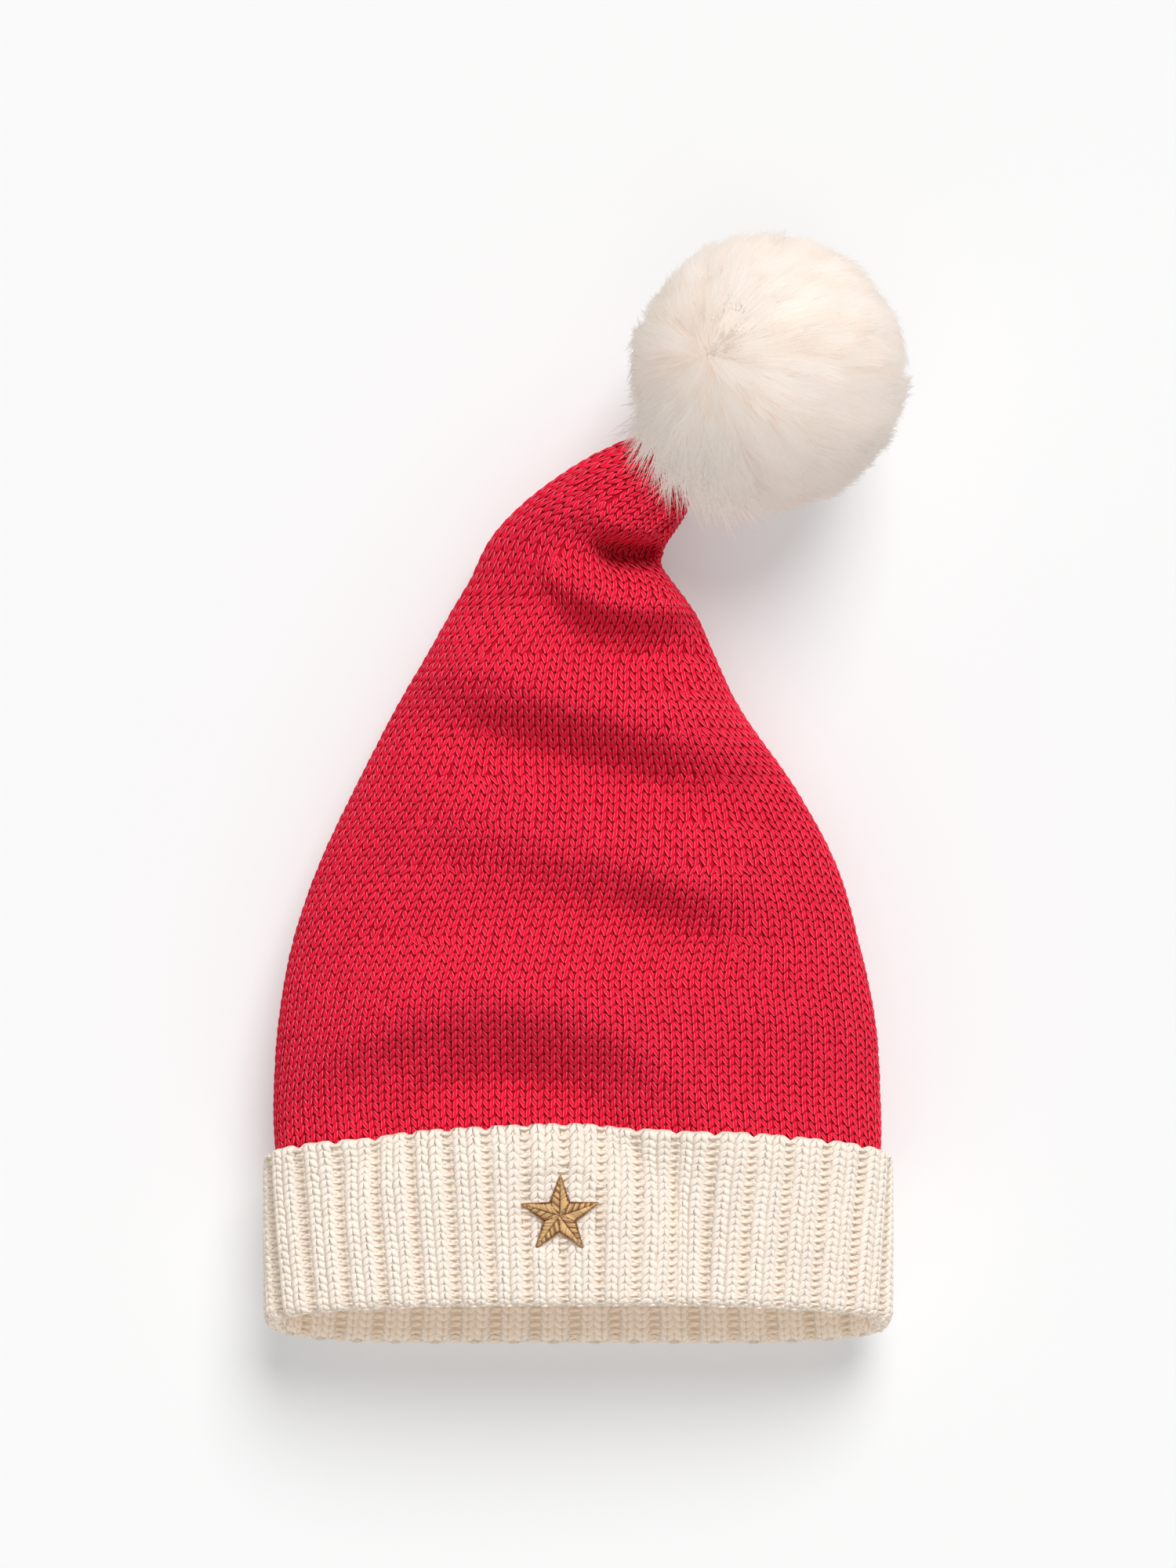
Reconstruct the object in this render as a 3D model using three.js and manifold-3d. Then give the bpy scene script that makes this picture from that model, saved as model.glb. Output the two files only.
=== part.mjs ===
// A knitted santa hat lying on a table, in millimetres. +X runs across the hat, +Y from its mouth
// towards its tip, and +Z up from the table. It is a red stocking crown that narrows to a bent tip,
// a cream rib cuff turned up round the mouth, a fur pompom on the tip and an embroidered star.

import * as THREE from "three";
import { mergeVertices } from "three/addons/utils/BufferGeometryUtils.js";
import Module from "manifold-3d";

const wasm = await Module();
wasm.setup();

// Crown: the red knit, from the cuff's top edge to the tip.
const crownWidth = 184.5; // laid width where it leaves the cuff
const crownLength = 216.6; // along +Y, from the cuff's top edge to the tip
const crownRise = 49; // height of the puffed crown at the cuff
const crownWall = 2.4; // one layer of the red knit
const tipPlug = 7; // length of the gathered tip that is closed
const settleLength = 26; // how soon the crown's underside comes down to the table

// Cuff: the rib band, turned up so that it lies double.
const cuffHeight = 51.5;
const cuffWall = 2.8; // one layer of the rib
const cuffTuck = 12; // how far the crown reaches down behind the cuff's top edge
const slotGap = 0.65; // between the crown and the cuff's layers round it
const ribCount = 36;
const ribRelief = 1.1; // how far the knit wales stand over the purl ones
const ribShift = 0.6; // share of a rib from the cuff's middle line to the next purl valley
const ribPull = 0.08; // how much the ribs crowd to the middle at the mouth's upper side

// Pompom.
const pompomDiameter = 86;
const pompomSink = 0.06; // share of its radius that is pressed flat on the table
const pompomReach = 0.59; // its centre lies this share of its radius past the tip
const pompomHeading = 50; // degrees from +X to its centre, seen from above
const lockLength = 11.5;
const lockRadius = 8;
const lockRise = 8.5; // from a lock's root in the ball to its tip
const lockRows = 6;
const lockAcross = 13; // locks in the widest row
const lockSides = 5;
const lockGap = 28; // degrees round the hat's tip that are left without locks

// Star.
const starSize = 25; // tip to tip
const starNotch = 0.42; // share of its radius where two arms meet
const starThickness = 1.1;
const starAlong = 0.47; // share of the cuff's height, down from its top edge
const starAcross = -0.03; // share of the crown's width, from the hat's middle line
const starMargin = 2.5; // pressed rib round the star

const clearance = 0.3; // under the star and round the tip in the pompom

// Sections of the crown from the cuff to the tip. along is a share of crownLength, across and width
// of crownWidth, and top and under of crownRise. lean turns a section in degrees, and slant is how
// far its upper side is drawn towards the tip for each millimetre of height.
const sections = [
  { along: 0.0, across: 0.0, width: 1.0, top: 1.0, under: 0, lean: 0, slant: 0.356 },
  { along: 0.08, across: -0.002, width: 1.004, top: 0.93, under: 0, lean: 0, slant: 0.3 },
  { along: 0.189, across: -0.002, width: 0.987, top: 0.94, under: 0, lean: 0, slant: 0.2 },
  { along: 0.299, across: -0.004, width: 0.938, top: 0.9, under: 0, lean: 0, slant: 0.12 },
  { along: 0.408, across: -0.001, width: 0.859, top: 0.85, under: 0, lean: 0, slant: 0.05 },
  { along: 0.517, across: -0.005, width: 0.732, top: 0.79, under: 0, lean: 0, slant: 0 },
  { along: 0.626, across: -0.017, width: 0.578, top: 0.73, under: 0, lean: 0, slant: 0 },
  { along: 0.703, across: -0.013, width: 0.482, top: 0.68, under: 0, lean: 0, slant: 0 },
  { along: 0.761, across: -0.009, width: 0.414, top: 0.65, under: 0, lean: 0, slant: 0 },
  { along: 0.806, across: -0.006, width: 0.348, top: 0.64, under: 0, lean: -2.8, slant: 0 },
  { along: 0.854, across: -0.002, width: 0.286, top: 0.66, under: 0, lean: -10, slant: 0 },
  { along: 0.893, across: 0.03, width: 0.236, top: 0.72, under: 0.01, lean: -21.8, slant: 0 },
  { along: 0.925, across: 0.07, width: 0.2, top: 0.74, under: 0.05, lean: -30.4, slant: 0 },
  { along: 0.951, across: 0.111, width: 0.164, top: 0.73, under: 0.11, lean: -41.6, slant: 0 },
  { along: 0.973, across: 0.146, width: 0.127, top: 0.7, under: 0.19, lean: -52, slant: 0 },
  { along: 0.99, across: 0.183, width: 0.092, top: 0.66, under: 0.27, lean: -56, slant: 0 },
  { along: 1.0, across: 0.217, width: 0.05, top: 0.58, under: 0.36, lean: -56, slant: 0 },
];

// Folds of the upper side. Each is a ridge along a line, or a dent where its height is negative.
// along, tipSide and cuffSide are shares of crownLength, across, half and bow of crownWidth, and
// height of crownRise. heading is the line's angle from +X in degrees, half its half length, and
// bow how far its ends bend to the cuff. The sides are how far it spreads to the tip and the cuff.
const folds = [
  { name: "lower swell", along: 0.221, across: -0.024, heading: -14, half: 0.32, bow: 0.05,
    tipSide: 0.06, cuffSide: 0.042, height: 0.1 },
  { name: "middle swell", along: 0.444, across: -0.011, heading: -15.6, half: 0.26, bow: 0.01,
    tipSide: 0.05, cuffSide: 0.033, height: 0.075 },
  { name: "upper swell", along: 0.625, across: 0.002, heading: -17, half: 0.205, bow: 0,
    tipSide: 0.05, cuffSide: 0.028, height: 0.095 },
  { name: "neck swell", along: 0.779, across: 0.053, heading: -10, half: 0.12, bow: 0,
    tipSide: 0.037, cuffSide: 0.023, height: 0.11 },
  { name: "crease", along: 0.843, across: 0.089, heading: -4, half: 0.052, bow: 0,
    tipSide: 0.009, cuffSide: 0.02, height: -0.19 },
  { name: "lobe over the crease", along: 0.878, across: 0.066, heading: -20, half: 0.06, bow: 0,
    tipSide: 0.037, cuffSide: 0.018, height: 0.06 },
  { name: "cuff dent", along: -0.083, across: 0.165, heading: 90, half: 0.17, bow: 0,
    tipSide: 0.024, cuffSide: 0.024, height: -0.05 },
];

// A lock from its root to its tip. up is a share of lockRise, over of lockLength and girth of
// lockRadius.
const lockProfile = [
  { up: 0, over: 0, girth: 1 },
  { up: 0.7, over: 0.34, girth: 0.82 },
  { up: 0.88, over: 1, girth: 0.15 },
];

const upperSquareness = 0.8; // powers of the sine and cosine that draw a section: 1 is an ellipse
const lowerSquareness = 0.6;
const waist = 0.47; // share of a section's height where it is widest
const pressed = 1.6; // how much of the underside's curve the table flattens

const crownColumns = 44;
const crownRows = 29;
const liningRows = 9;
const samplesPerSection = 12;
const outlineSamples = 96;

const degrees = Math.PI / 180;
const turn = 2 * Math.PI;
const ease = (from, to, value) => THREE.MathUtils.smoothstep(value, from, to);
const signedPower = (value, power) => Math.sign(value) * Math.abs(value) ** power;
const steps = (from, to, count) =>
  Array.from({ length: count + 1 }, (_, i) => THREE.MathUtils.lerp(from, to, i / count));

// One column of the section table as a smooth curve: place 2.5 is half way from row 2 to row 3.
function smoothColumn(column, place) {
  const last = sections.length - 1;
  const row = Math.min(Math.floor(place), last - 1);
  const part = place - row;
  const value = (i) => sections[THREE.MathUtils.clamp(i, 0, last)][column];
  const [a, b, c, d] = [value(row - 1), value(row), value(row + 1), value(row + 2)];
  const curve = 2 * a - 5 * b + 4 * c - d + part * (3 * (b - c) + d - a);
  return b + 0.5 * part * (c - a + part * curve);
}

const spineAt = (place) =>
  new THREE.Vector2(
    smoothColumn("across", place) * crownWidth,
    smoothColumn("along", place) * crownLength,
  );

// Places in the table with their distance along the spine, from the cuff's top edge.
const spine = [];
for (const place of steps(0, sections.length - 1, (sections.length - 1) * samplesPerSection)) {
  const point = spineAt(place);
  const before = spine.at(-1);
  const distance = before ? before.distance + before.point.distanceTo(point) : 0;
  spine.push({ place, point, distance });
}
const spineLength = spine.at(-1).distance;

// The section at a distance along the spine. Below the cuff's top edge it runs on straight, and
// beyond the tip as well.
function sectionAt(distance) {
  const inside = THREE.MathUtils.clamp(distance, 0, spineLength);
  const next = Math.max(1, spine.findIndex((s) => s.distance >= inside));
  const [a, b] = [spine[next - 1], spine[next]];
  const part = (inside - a.distance) / (b.distance - a.distance);
  const place = THREE.MathUtils.lerp(a.place, b.place, part);
  const centre = spineAt(place);
  const lean = smoothColumn("lean", place) * degrees;
  const beyond = distance - inside;
  const seat = (cuffWall + slotGap) * (1 - ease(0, settleLength, distance));
  return {
    x: centre.x - beyond * Math.sin(lean),
    y: centre.y + beyond * Math.cos(lean),
    lean,
    half: (smoothColumn("width", place) * crownWidth) / 2,
    top: smoothColumn("top", place) * crownRise,
    under: Math.max(smoothColumn("under", place), 0) * crownRise + seat,
    slant: smoothColumn("slant", place),
  };
}

// Height that the folds add to the upper side at a point seen from above.
function foldHeight(x, y) {
  return folds.reduce((sum, fold) => {
    const angle = fold.heading * degrees;
    const dx = x - fold.across * crownWidth;
    const dy = y - fold.along * crownLength;
    const half = fold.half * crownWidth;
    const run = (dx * Math.cos(angle) + dy * Math.sin(angle)) / half;
    const off = dy * Math.cos(angle) - dx * Math.sin(angle) + fold.bow * crownWidth * run * run;
    const spread = (off > 0 ? fold.tipSide : fold.cuffSide) * crownLength;
    return sum + fold.height * crownRise * Math.exp(-0.5 * (off / spread) ** 2 - run ** 4);
  }, 0);
}

const middleOf = (section) => THREE.MathUtils.lerp(section.under, section.top, waist);

// The outline of a section as [across, height], at an angle from its top towards +X, with the
// outline grown by offset.
function outlinePoint(section, angle, offset) {
  const [side, up] = [Math.sin(angle), Math.cos(angle)];
  const middle = middleOf(section);
  const bottom = section.under - offset;
  const squareness = up > 0 ? upperSquareness : lowerSquareness;
  const rise = up > 0 ? section.top + offset - middle : middle - bottom;
  const height = middle + rise * signedPower(up, squareness) + pressed * Math.min(up, 0);
  return [
    (section.half + offset) * signedPower(side, squareness),
    Math.max(height, bottom, 0),
  ];
}

// A point of the hat's surface, at an angle round a section and an offset out from the crown.
function hatPoint(section, angle, offset) {
  const [across, height] = outlinePoint(section, angle, offset);
  const [bareAcross, bareHeight] = outlinePoint(section, angle, 0);
  const along = section.slant * (bareHeight - middleOf(section));
  const [c, s] = [Math.cos(section.lean), Math.sin(section.lean)];
  const seen = (a) => [section.x + a * c - along * s, section.y + a * s + along * c];
  const raised = foldHeight(...seen(bareAcross)) * ease(0.05, 0.7, Math.cos(angle));
  return new THREE.Vector3(...seen(across), height + raised);
}

// The girth of a section, summed from its top towards +X.
function girthsOf(section) {
  const points = steps(0, turn, outlineSamples).map((angle) => outlinePoint(section, angle, 0));
  const girths = [0];
  for (let i = 1; i < points.length; i++) {
    const step = Math.hypot(points[i][0] - points[i - 1][0], points[i][1] - points[i - 1][1]);
    girths.push(girths[i - 1] + step);
  }
  return girths;
}

// The angles round a section at shares of its girth.
function anglesAt(section, shares) {
  const girths = girthsOf(section);
  return shares.map((share) => {
    const wanted = (share - Math.floor(share)) * girths[outlineSamples];
    const next = Math.max(1, girths.findIndex((g) => g >= wanted));
    const part = (wanted - girths[next - 1]) / (girths[next] - girths[next - 1]);
    return ((next - 1 + part) / outlineSamples) * turn;
  });
}

// A closed mesh from rings of equal length, each joined to the next. The last is joined to the
// first where loop is true; else each end is closed by a fan round its middle.
function lofted(rings, loop) {
  const columns = rings[0].length;
  const points = rings.flat();
  const faces = [];
  const bands = loop ? rings.length : rings.length - 1;
  for (let i = 0; i < bands; i++) {
    const j = (i + 1) % rings.length;
    for (let k = 0; k < columns; k++) {
      const l = (k + 1) % columns;
      const [a, b, c, d] = [i * columns + k, i * columns + l, j * columns + l, j * columns + k];
      faces.push(a, b, c, a, c, d);
    }
  }
  if (!loop) {
    [rings[0], rings.at(-1)].forEach((ring, end) => {
      const middle = ring.reduce((sum, point) => sum.add(point), new THREE.Vector3());
      const first = end * (rings.length - 1) * columns;
      points.push(middle.divideScalar(columns));
      for (let k = 0; k < columns; k++) {
        const [a, b] = [first + k, first + ((k + 1) % columns)];
        faces.push(points.length - 1, end ? a : b, end ? b : a);
      }
    });
  }
  return new THREE.BufferGeometry().setFromPoints(points).setIndex(faces);
}

// A three.js geometry as a solid, and back.
function solidOf(geometry) {
  const bare = geometry.clone();
  bare.deleteAttribute("normal");
  bare.deleteAttribute("uv");
  const merged = mergeVertices(bare);
  return new wasm.Manifold(
    new wasm.Mesh({
      numProp: 3,
      vertProperties: merged.attributes.position.array,
      triVerts: new Uint32Array(merged.index.array),
    }),
  );
}

function geometryOf(solid) {
  const mesh = solid.getMesh();
  return new THREE.BufferGeometry()
    .setAttribute("position", new THREE.BufferAttribute(mesh.vertProperties, 3))
    .setIndex(new THREE.BufferAttribute(mesh.triVerts, 1));
}

// Rings of the crown, from its rim behind the cuff to its tip.
const crownShares = steps(0, 1, crownColumns).slice(0, -1);
const crownRim = slotGap - cuffTuck;
const crownDistances = [crownRim, -cuffTuck / 2, ...steps(0, spineLength, crownRows)];

function crownRing(distance, offset) {
  const section = sectionAt(distance);
  return anglesAt(section, crownShares).map((angle) => hatPoint(section, angle, offset));
}

// The crown is one wall: its lining from the closed tip to the rim, then its outside back again.
function crownGeometry() {
  const lining = steps(spineLength - tipPlug, crownRim, liningRows);
  return lofted(
    [
      ...lining.map((distance) => crownRing(distance, -crownWall)),
      ...crownDistances.map((distance) => crownRing(distance, 0)),
    ],
    false,
  );
}

// Where the star is sewn on: a distance, and a share of the section's girth.
const starDistance = -starAlong * cuffHeight;
const starGirth = girthsOf(sectionAt(starDistance)).at(-1);
const starShare = (starAcross * crownWidth) / starGirth;

// How far the rib lies under its full height at a place on the cuff. Knit is 1 on a raised wale
// and 0 in a purl valley, and the star is sewn on ribs that are pressed half flat.
function ribDepth(distance, share, knit) {
  const around = (share - Math.round(share) - starShare) * starGirth;
  const reach = Math.hypot(around, distance - starDistance) - starSize / 2;
  return (1 - THREE.MathUtils.lerp(0.5, knit, ease(starMargin, 2 * starMargin, reach))) * ribRelief;
}

// Cuff profile: up the outer layer from the fold, over its edge and down its inside, up the inner
// layer and over to its inside, then down and round the fold. Each point is a distance and an
// offset from the crown. facing is the way its ribs stand, in degrees: 90 out from the hat, -90
// into it and 0 to the mouth.
function cuffProfile() {
  const outer = slotGap + cuffWall;
  const inner = -cuffWall;
  const round = (outer - inner) / 2;
  const fold = round - cuffHeight;
  const edge = cuffWall * 0.3;
  const pressedRows = [-1, 0, 1].map((i) => starDistance + i * (starSize / 2 + starMargin / 2));
  const outside = [fold, ...pressedRows, -edge];
  const slot = [-cuffTuck / 2, -cuffTuck, cuffWall - cuffHeight];
  return [
    ...outside.map((distance) => ({ distance, offset: outer, facing: 90 })),
    { distance: 0, offset: outer - edge },
    { distance: 0, offset: slotGap + edge / 2 },
    { distance: -edge, offset: slotGap },
    ...slot.map((distance) => ({ distance, offset: slotGap })),
    ...slot.slice(1).toReversed().map((distance) => ({ distance, offset: 0 })),
    ...[-cuffTuck, fold].map((distance) => ({ distance, offset: inner, facing: -90 })),
    ...[-60, -22, 22, 60].map((facing) => ({
      distance: fold - round * Math.cos(facing * degrees),
      offset: outer - round + round * Math.sin(facing * degrees),
      facing,
    })),
  ];
}

// Places across one rib, as shares of it, and whether they lie on its knit wale.
const ribPlaces = [
  { place: 0, knit: 0 },
  { place: 0.26, knit: 1 },
  { place: 0.74, knit: 1 },
];

// The cuff's ribs crowd to its middle line towards the mouth. A wale of the outer side is a valley
// of the inner one.
function cuffGeometry() {
  const columns = Array.from({ length: ribCount }, (_, rib) =>
    ribPlaces.map(({ place, knit }) => ({ share: (rib + place + ribShift) / ribCount, knit })),
  ).flat();
  const rings = cuffProfile().map(({ distance, offset, facing }) => {
    const section = sectionAt(distance);
    const pull = (ribPull * distance) / cuffHeight / turn;
    const shares = columns.map(({ share }) => share + pull * Math.sin(share * turn));
    return anglesAt(section, shares).map((angle, k) => {
      if (facing === undefined) return hatPoint(section, angle, offset);
      const [down, out] = [Math.cos(facing * degrees), Math.sin(facing * degrees)];
      const { knit } = columns[k];
      const depth = ribDepth(distance, shares[k], out > -0.5 ? knit : 1 - knit);
      return hatPoint(sectionAt(distance + down * depth), angle, offset - out * depth);
    });
  });
  return lofted(rings, true);
}

// A point over the cuff's pressed outside, from the star's middle.
function onCuff(across, along, height) {
  const section = sectionAt(starDistance + along);
  const [angle] = anglesAt(section, [starShare + across / starGirth]);
  return hatPoint(section, angle, slotGap + cuffWall - ribRelief / 2 + clearance + height);
}

// A five-pointed star that falls from its middle to its rim, so that a ridge runs down each arm.
// It is drawn as rings of points: out over its upper side, and back along the cuff.
function starGeometry() {
  const corners = 10;
  const split = 2;
  const corner = (i) => {
    const radius = (starSize / 2) * (i % 2 ? starNotch : 1);
    const angle = (i * turn) / corners;
    return new THREE.Vector2(Math.sin(angle), Math.cos(angle)).multiplyScalar(radius);
  };
  const rim = Array.from({ length: corners * split }, (_, k) => {
    const from = Math.floor(k / split);
    return corner(from).lerp(corner(from + 1), (k % split) / split);
  });
  const ringOf = (out, height) => rim.map(({ x, y }) => onCuff(x * out, y * out, height));
  const outs = steps(0.1, 1, 4);
  return lofted(
    [
      ...outs.map((out) => ringOf(out, starThickness * (1 - 0.6 * out))),
      ...outs.toReversed().map((out) => ringOf(out, 0)),
    ],
    false,
  );
}

// The pompom's middle, and the whorl that its fur is combed away from.
const tip = sectionAt(spineLength);
const pompomRadius = pompomDiameter / 2;
const pompomCentre = new THREE.Vector3(
  tip.x + pompomRadius * pompomReach * Math.cos(pompomHeading * degrees),
  tip.y + pompomRadius * pompomReach * Math.sin(pompomHeading * degrees),
  pompomRadius * (1 - pompomSink),
);
const whorl = new THREE.Vector3(-0.42, 0.05, 0.9).normalize();
const acrossWhorl = new THREE.Vector3(0, 1, 0).cross(whorl).normalize();
const roundWhorl = whorl.clone().cross(acrossWhorl);

const mixed = (a, shareOfA, b, shareOfB) =>
  a.clone().multiplyScalar(shareOfA).addScaledVector(b, shareOfB);

// A lock of fur: a tapered cone that rises from the ball and bends away from the whorl. polar is
// its root's angle from the whorl, and around its angle round the whorl.
function lockGeometry(polar, around) {
  const side = mixed(acrossWhorl, Math.cos(around), roundWhorl, Math.sin(around));
  const out = mixed(whorl, Math.cos(polar), side, Math.sin(polar));
  const combed = mixed(side, Math.cos(polar), whorl, -Math.sin(polar));
  const across = out.clone().cross(combed);
  const rings = lockProfile.map(({ up, over, girth }) => {
    const middle = mixed(out, pompomRadius - lockRise * (1 - up), combed, over * lockLength);
    return steps(0, turn, lockSides).slice(0, -1).map((angle) =>
      middle
        .clone()
        .add(pompomCentre)
        .addScaledVector(across, Math.sin(angle) * girth * lockRadius)
        .addScaledVector(combed, Math.cos(angle) * girth * lockRadius),
    );
  });
  return lofted(rings, false);
}

// The pompom is a ball with its locks, cut off at the table and hollowed where the hat's tip is
// sewn into it.
function pompomGeometry() {
  const tipWay = new THREE.Vector3(tip.x, tip.y, middleOf(tip)).sub(pompomCentre).normalize();
  const ball = new THREE.IcosahedronGeometry(pompomRadius - lockRise * 0.8, 3);
  ball.translate(...pompomCentre);
  const locks = [];
  for (let row = 0; row < lockRows; row++) {
    const polar = ((row + 0.5) * Math.PI) / lockRows;
    const count = Math.round(lockAcross * Math.sin(polar));
    for (let k = 0; k < count; k++) {
      const around = ((k + (row % 2) / 2) * turn) / count;
      const side = mixed(acrossWhorl, Math.cos(around), roundWhorl, Math.sin(around));
      const out = mixed(whorl, Math.cos(polar), side, Math.sin(polar));
      if (out.angleTo(tipWay) > lockGap * degrees) locks.push(lockGeometry(polar, around));
    }
  }
  const socket = crownDistances.slice(-8).map((distance) => crownRing(distance, clearance));
  socket.push(crownRing(spineLength + clearance, clearance));
  const table = new THREE.BoxGeometry(4 * pompomDiameter, 4 * pompomDiameter, pompomDiameter);
  table.translate(pompomCentre.x, pompomCentre.y, -pompomDiameter / 2);
  return geometryOf(
    wasm.Manifold.union([ball, ...locks].map(solidOf))
      .subtract(solidOf(table))
      .subtract(solidOf(lofted(socket, false))),
  );
}

const pieces = [
  { name: "red_knit_crown", geometry: crownGeometry(), color: "#c51e36", roughness: 0.85 },
  { name: "rib_knit_cuff", geometry: cuffGeometry(), color: "#efe3d6", roughness: 0.9 },
  { name: "fur_pompom", geometry: pompomGeometry(), color: "#f3eae0", roughness: 0.95 },
  { name: "embroidered_star", geometry: starGeometry(), color: "#cf9f5e", roughness: 0.6 },
];

// The hat stands with its box centred over the frame's origin.
const hat = new THREE.Group();
const box = new THREE.Box3();
for (const { geometry } of pieces) {
  geometry.computeBoundingBox();
  box.union(geometry.boundingBox);
}
const middle = box.getCenter(new THREE.Vector3());
for (const { name, geometry, color, roughness } of pieces) {
  geometry.translate(-middle.x, -middle.y, -box.min.z);
  geometry.computeVertexNormals();
  const material = new THREE.MeshStandardMaterial({ color, roughness, metalness: 0 });
  const mesh = new THREE.Mesh(geometry, material);
  mesh.name = name;
  hat.add(mesh);
}

export default hat;
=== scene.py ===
import math

import bpy
import numpy as np
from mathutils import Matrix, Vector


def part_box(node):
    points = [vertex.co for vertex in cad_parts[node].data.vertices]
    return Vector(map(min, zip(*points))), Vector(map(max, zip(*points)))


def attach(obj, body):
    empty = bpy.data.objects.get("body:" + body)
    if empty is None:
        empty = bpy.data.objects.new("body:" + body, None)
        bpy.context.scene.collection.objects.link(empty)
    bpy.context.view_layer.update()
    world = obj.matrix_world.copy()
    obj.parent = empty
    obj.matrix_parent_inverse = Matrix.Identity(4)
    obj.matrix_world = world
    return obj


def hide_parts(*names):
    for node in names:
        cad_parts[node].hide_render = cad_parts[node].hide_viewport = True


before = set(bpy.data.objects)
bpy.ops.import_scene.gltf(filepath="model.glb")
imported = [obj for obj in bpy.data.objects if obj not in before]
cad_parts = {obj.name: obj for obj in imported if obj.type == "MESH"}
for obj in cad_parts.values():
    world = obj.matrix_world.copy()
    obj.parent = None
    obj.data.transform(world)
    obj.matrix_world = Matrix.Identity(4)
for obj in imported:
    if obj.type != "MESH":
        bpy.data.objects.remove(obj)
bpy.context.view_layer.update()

# A knitted santa hat lying on a table, seen from straight above. Lengths are in millimetres and
# turn to metres where a mesh is made.

mm = 0.001
print("hat: frame loaded")

hatForm = {
    "crownWidth": 184.5,   # laid width where the crown leaves the cuff
    "crownLength": 216.6,  # from the cuff's top edge to the tip
    "crownRise": 49,       # height of the puffed crown at the cuff
    "crownWall": 2.4,      # thickness of the knit
    "gathers": 15,         # ridges round the tip, where the knit is drawn in
    "gather": 0.8,         # their height
    "gatherFrom": 48,      # how far before the tip they start, and where they are full
    "gatherFull": 14,
    "settleLength": 26,    # how soon the underside comes down to the table
    "upperPower": 0.8,     # powers of sine and cosine that draw a section
    "lowerPower": 0.6,
    "waist": 0.47,         # share of a section's height where it is widest
    "pressed": 1.6,        # how far the underside would go into the table, which flattens it
    "samples": 12,         # steps of the spine between two sections
    "skinStart": -78,      # where the table of the skin starts, past the cuff's fold
}

cuffForm = {
    "height": 51.5,
    "wall": 2.8,           # one layer of the rib
    "slot": 0.65,          # between the crown and the cuff's outer layer
    "tuck": 12,            # how far under the top edge the inner layer meets the crown's rim
    "ribs": 36,
    "ribShift": 0.6,       # share of a rib from the middle line to the next valley
    "ribPull": 0.08,       # how much the ribs crowd to the middle at the mouth
    "valley": 1.5,         # depth of the purl valleys
    "flank": (0.05, 0.17), # where a valley's side starts and ends, in shares of a rib
    "swell": 0.45,         # how much a pair of knit wales bulges
    "parting": 0.3,        # depth of the groove between the two
    "starPress": 1.35,     # how deep the star's stitches draw the rib in
    "edgeRise": 2.4,       # how far the top edge bows up in the middle
    "courseHeight": 2.22,  # one row of stitches
}

# Sections from the cuff to the tip: along and across, width, top, under, lean in degrees, slant.
# They are shares of the crown's length, of its width, and of its rise.
sections = np.array([
    [0.000, 0.000, 1.000, 1.00, 0.00, 0, 0.356],
    [0.080, -0.002, 1.004, 0.93, 0.00, 0, 0.30],
    [0.189, -0.002, 0.987, 0.94, 0.00, 0, 0.20],
    [0.299, -0.004, 0.938, 0.90, 0.00, 0, 0.12],
    [0.408, -0.001, 0.859, 0.85, 0.00, 0, 0.05],
    [0.517, -0.005, 0.732, 0.79, 0.00, 0, 0],
    [0.626, -0.017, 0.578, 0.73, 0.00, 0, 0],
    [0.703, -0.013, 0.482, 0.68, 0.00, 0, 0],
    [0.761, -0.009, 0.414, 0.65, 0.00, 0, 0],
    [0.806, -0.006, 0.348, 0.64, 0.00, -2.8, 0],
    [0.854, -0.002, 0.286, 0.66, 0.00, -10, 0],
    [0.893, 0.030, 0.236, 0.72, 0.01, -21.8, 0],
    [0.925, 0.070, 0.200, 0.74, 0.05, -30.4, 0],
    [0.951, 0.111, 0.164, 0.73, 0.11, -41.6, 0],
    [0.973, 0.146, 0.127, 0.70, 0.19, -52, 0],
    [0.990, 0.183, 0.092, 0.66, 0.27, -56, 0],
    [1.000, 0.217, 0.050, 0.58, 0.36, -56, 0],
])

# Folds of the upper side: along, across, heading in degrees, half length, bow of the ends to the
# cuff, spread to the tip, spread to the cuff, height. A negative height is a dent.
folds = [
    [0.236, -0.112, -4, 0.326, 0.15, 0.061, 0.048, 0.2],
    [0.094, -0.112, -2, 0.243, 0.12, 0.033, 0.044, -0.11],
    [0.329, 0.029, -8, 0.268, 0.05, 0.037, 0.037, -0.08],
    [0.440, 0.003, -13, 0.268, 0, 0.046, 0.037, 0.12],
    [0.388, 0.182, -8, 0.102, -0.02, 0.027, 0.028, 0.06],
    [0.542, 0.016, -15, 0.243, 0, 0.037, 0.033, -0.11],
    [0.638, 0.023, -15.5, 0.277, 0, 0.048, 0.042, 0.2],
    [0.698, 0.081, -8, 0.129, -0.02, 0.022, 0.024, -0.08],
    [0.777, 0.087, -6, 0.139, -0.035, 0.026, 0.022, 0.22],
    [0.041, -0.105, 0, 0.160, 0, 0.033, 0.065, 0.05],
    [0.857, 0.089, -4, 0.056, 0, 0.009, 0.02, -0.3],
    [0.89, 0.066, -20, 0.06, 0, 0.037, 0.018, 0.08],
    [-0.083, 0.165, 90, 0.17, 0, 0.024, 0.024, -0.05],
]


# Smooth step: 0 below low, 1 above high, 3t^2 - 2t^3 between.
def smoothStep(low, high, value):
    t = np.clip((value - low) / (high - low), 0, 1)
    return t * t * (3 - 2 * t)


# A power that keeps its sign, as in a superellipse.
def signedPower(value, power):
    return np.sign(value) * np.abs(value) ** power


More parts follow.
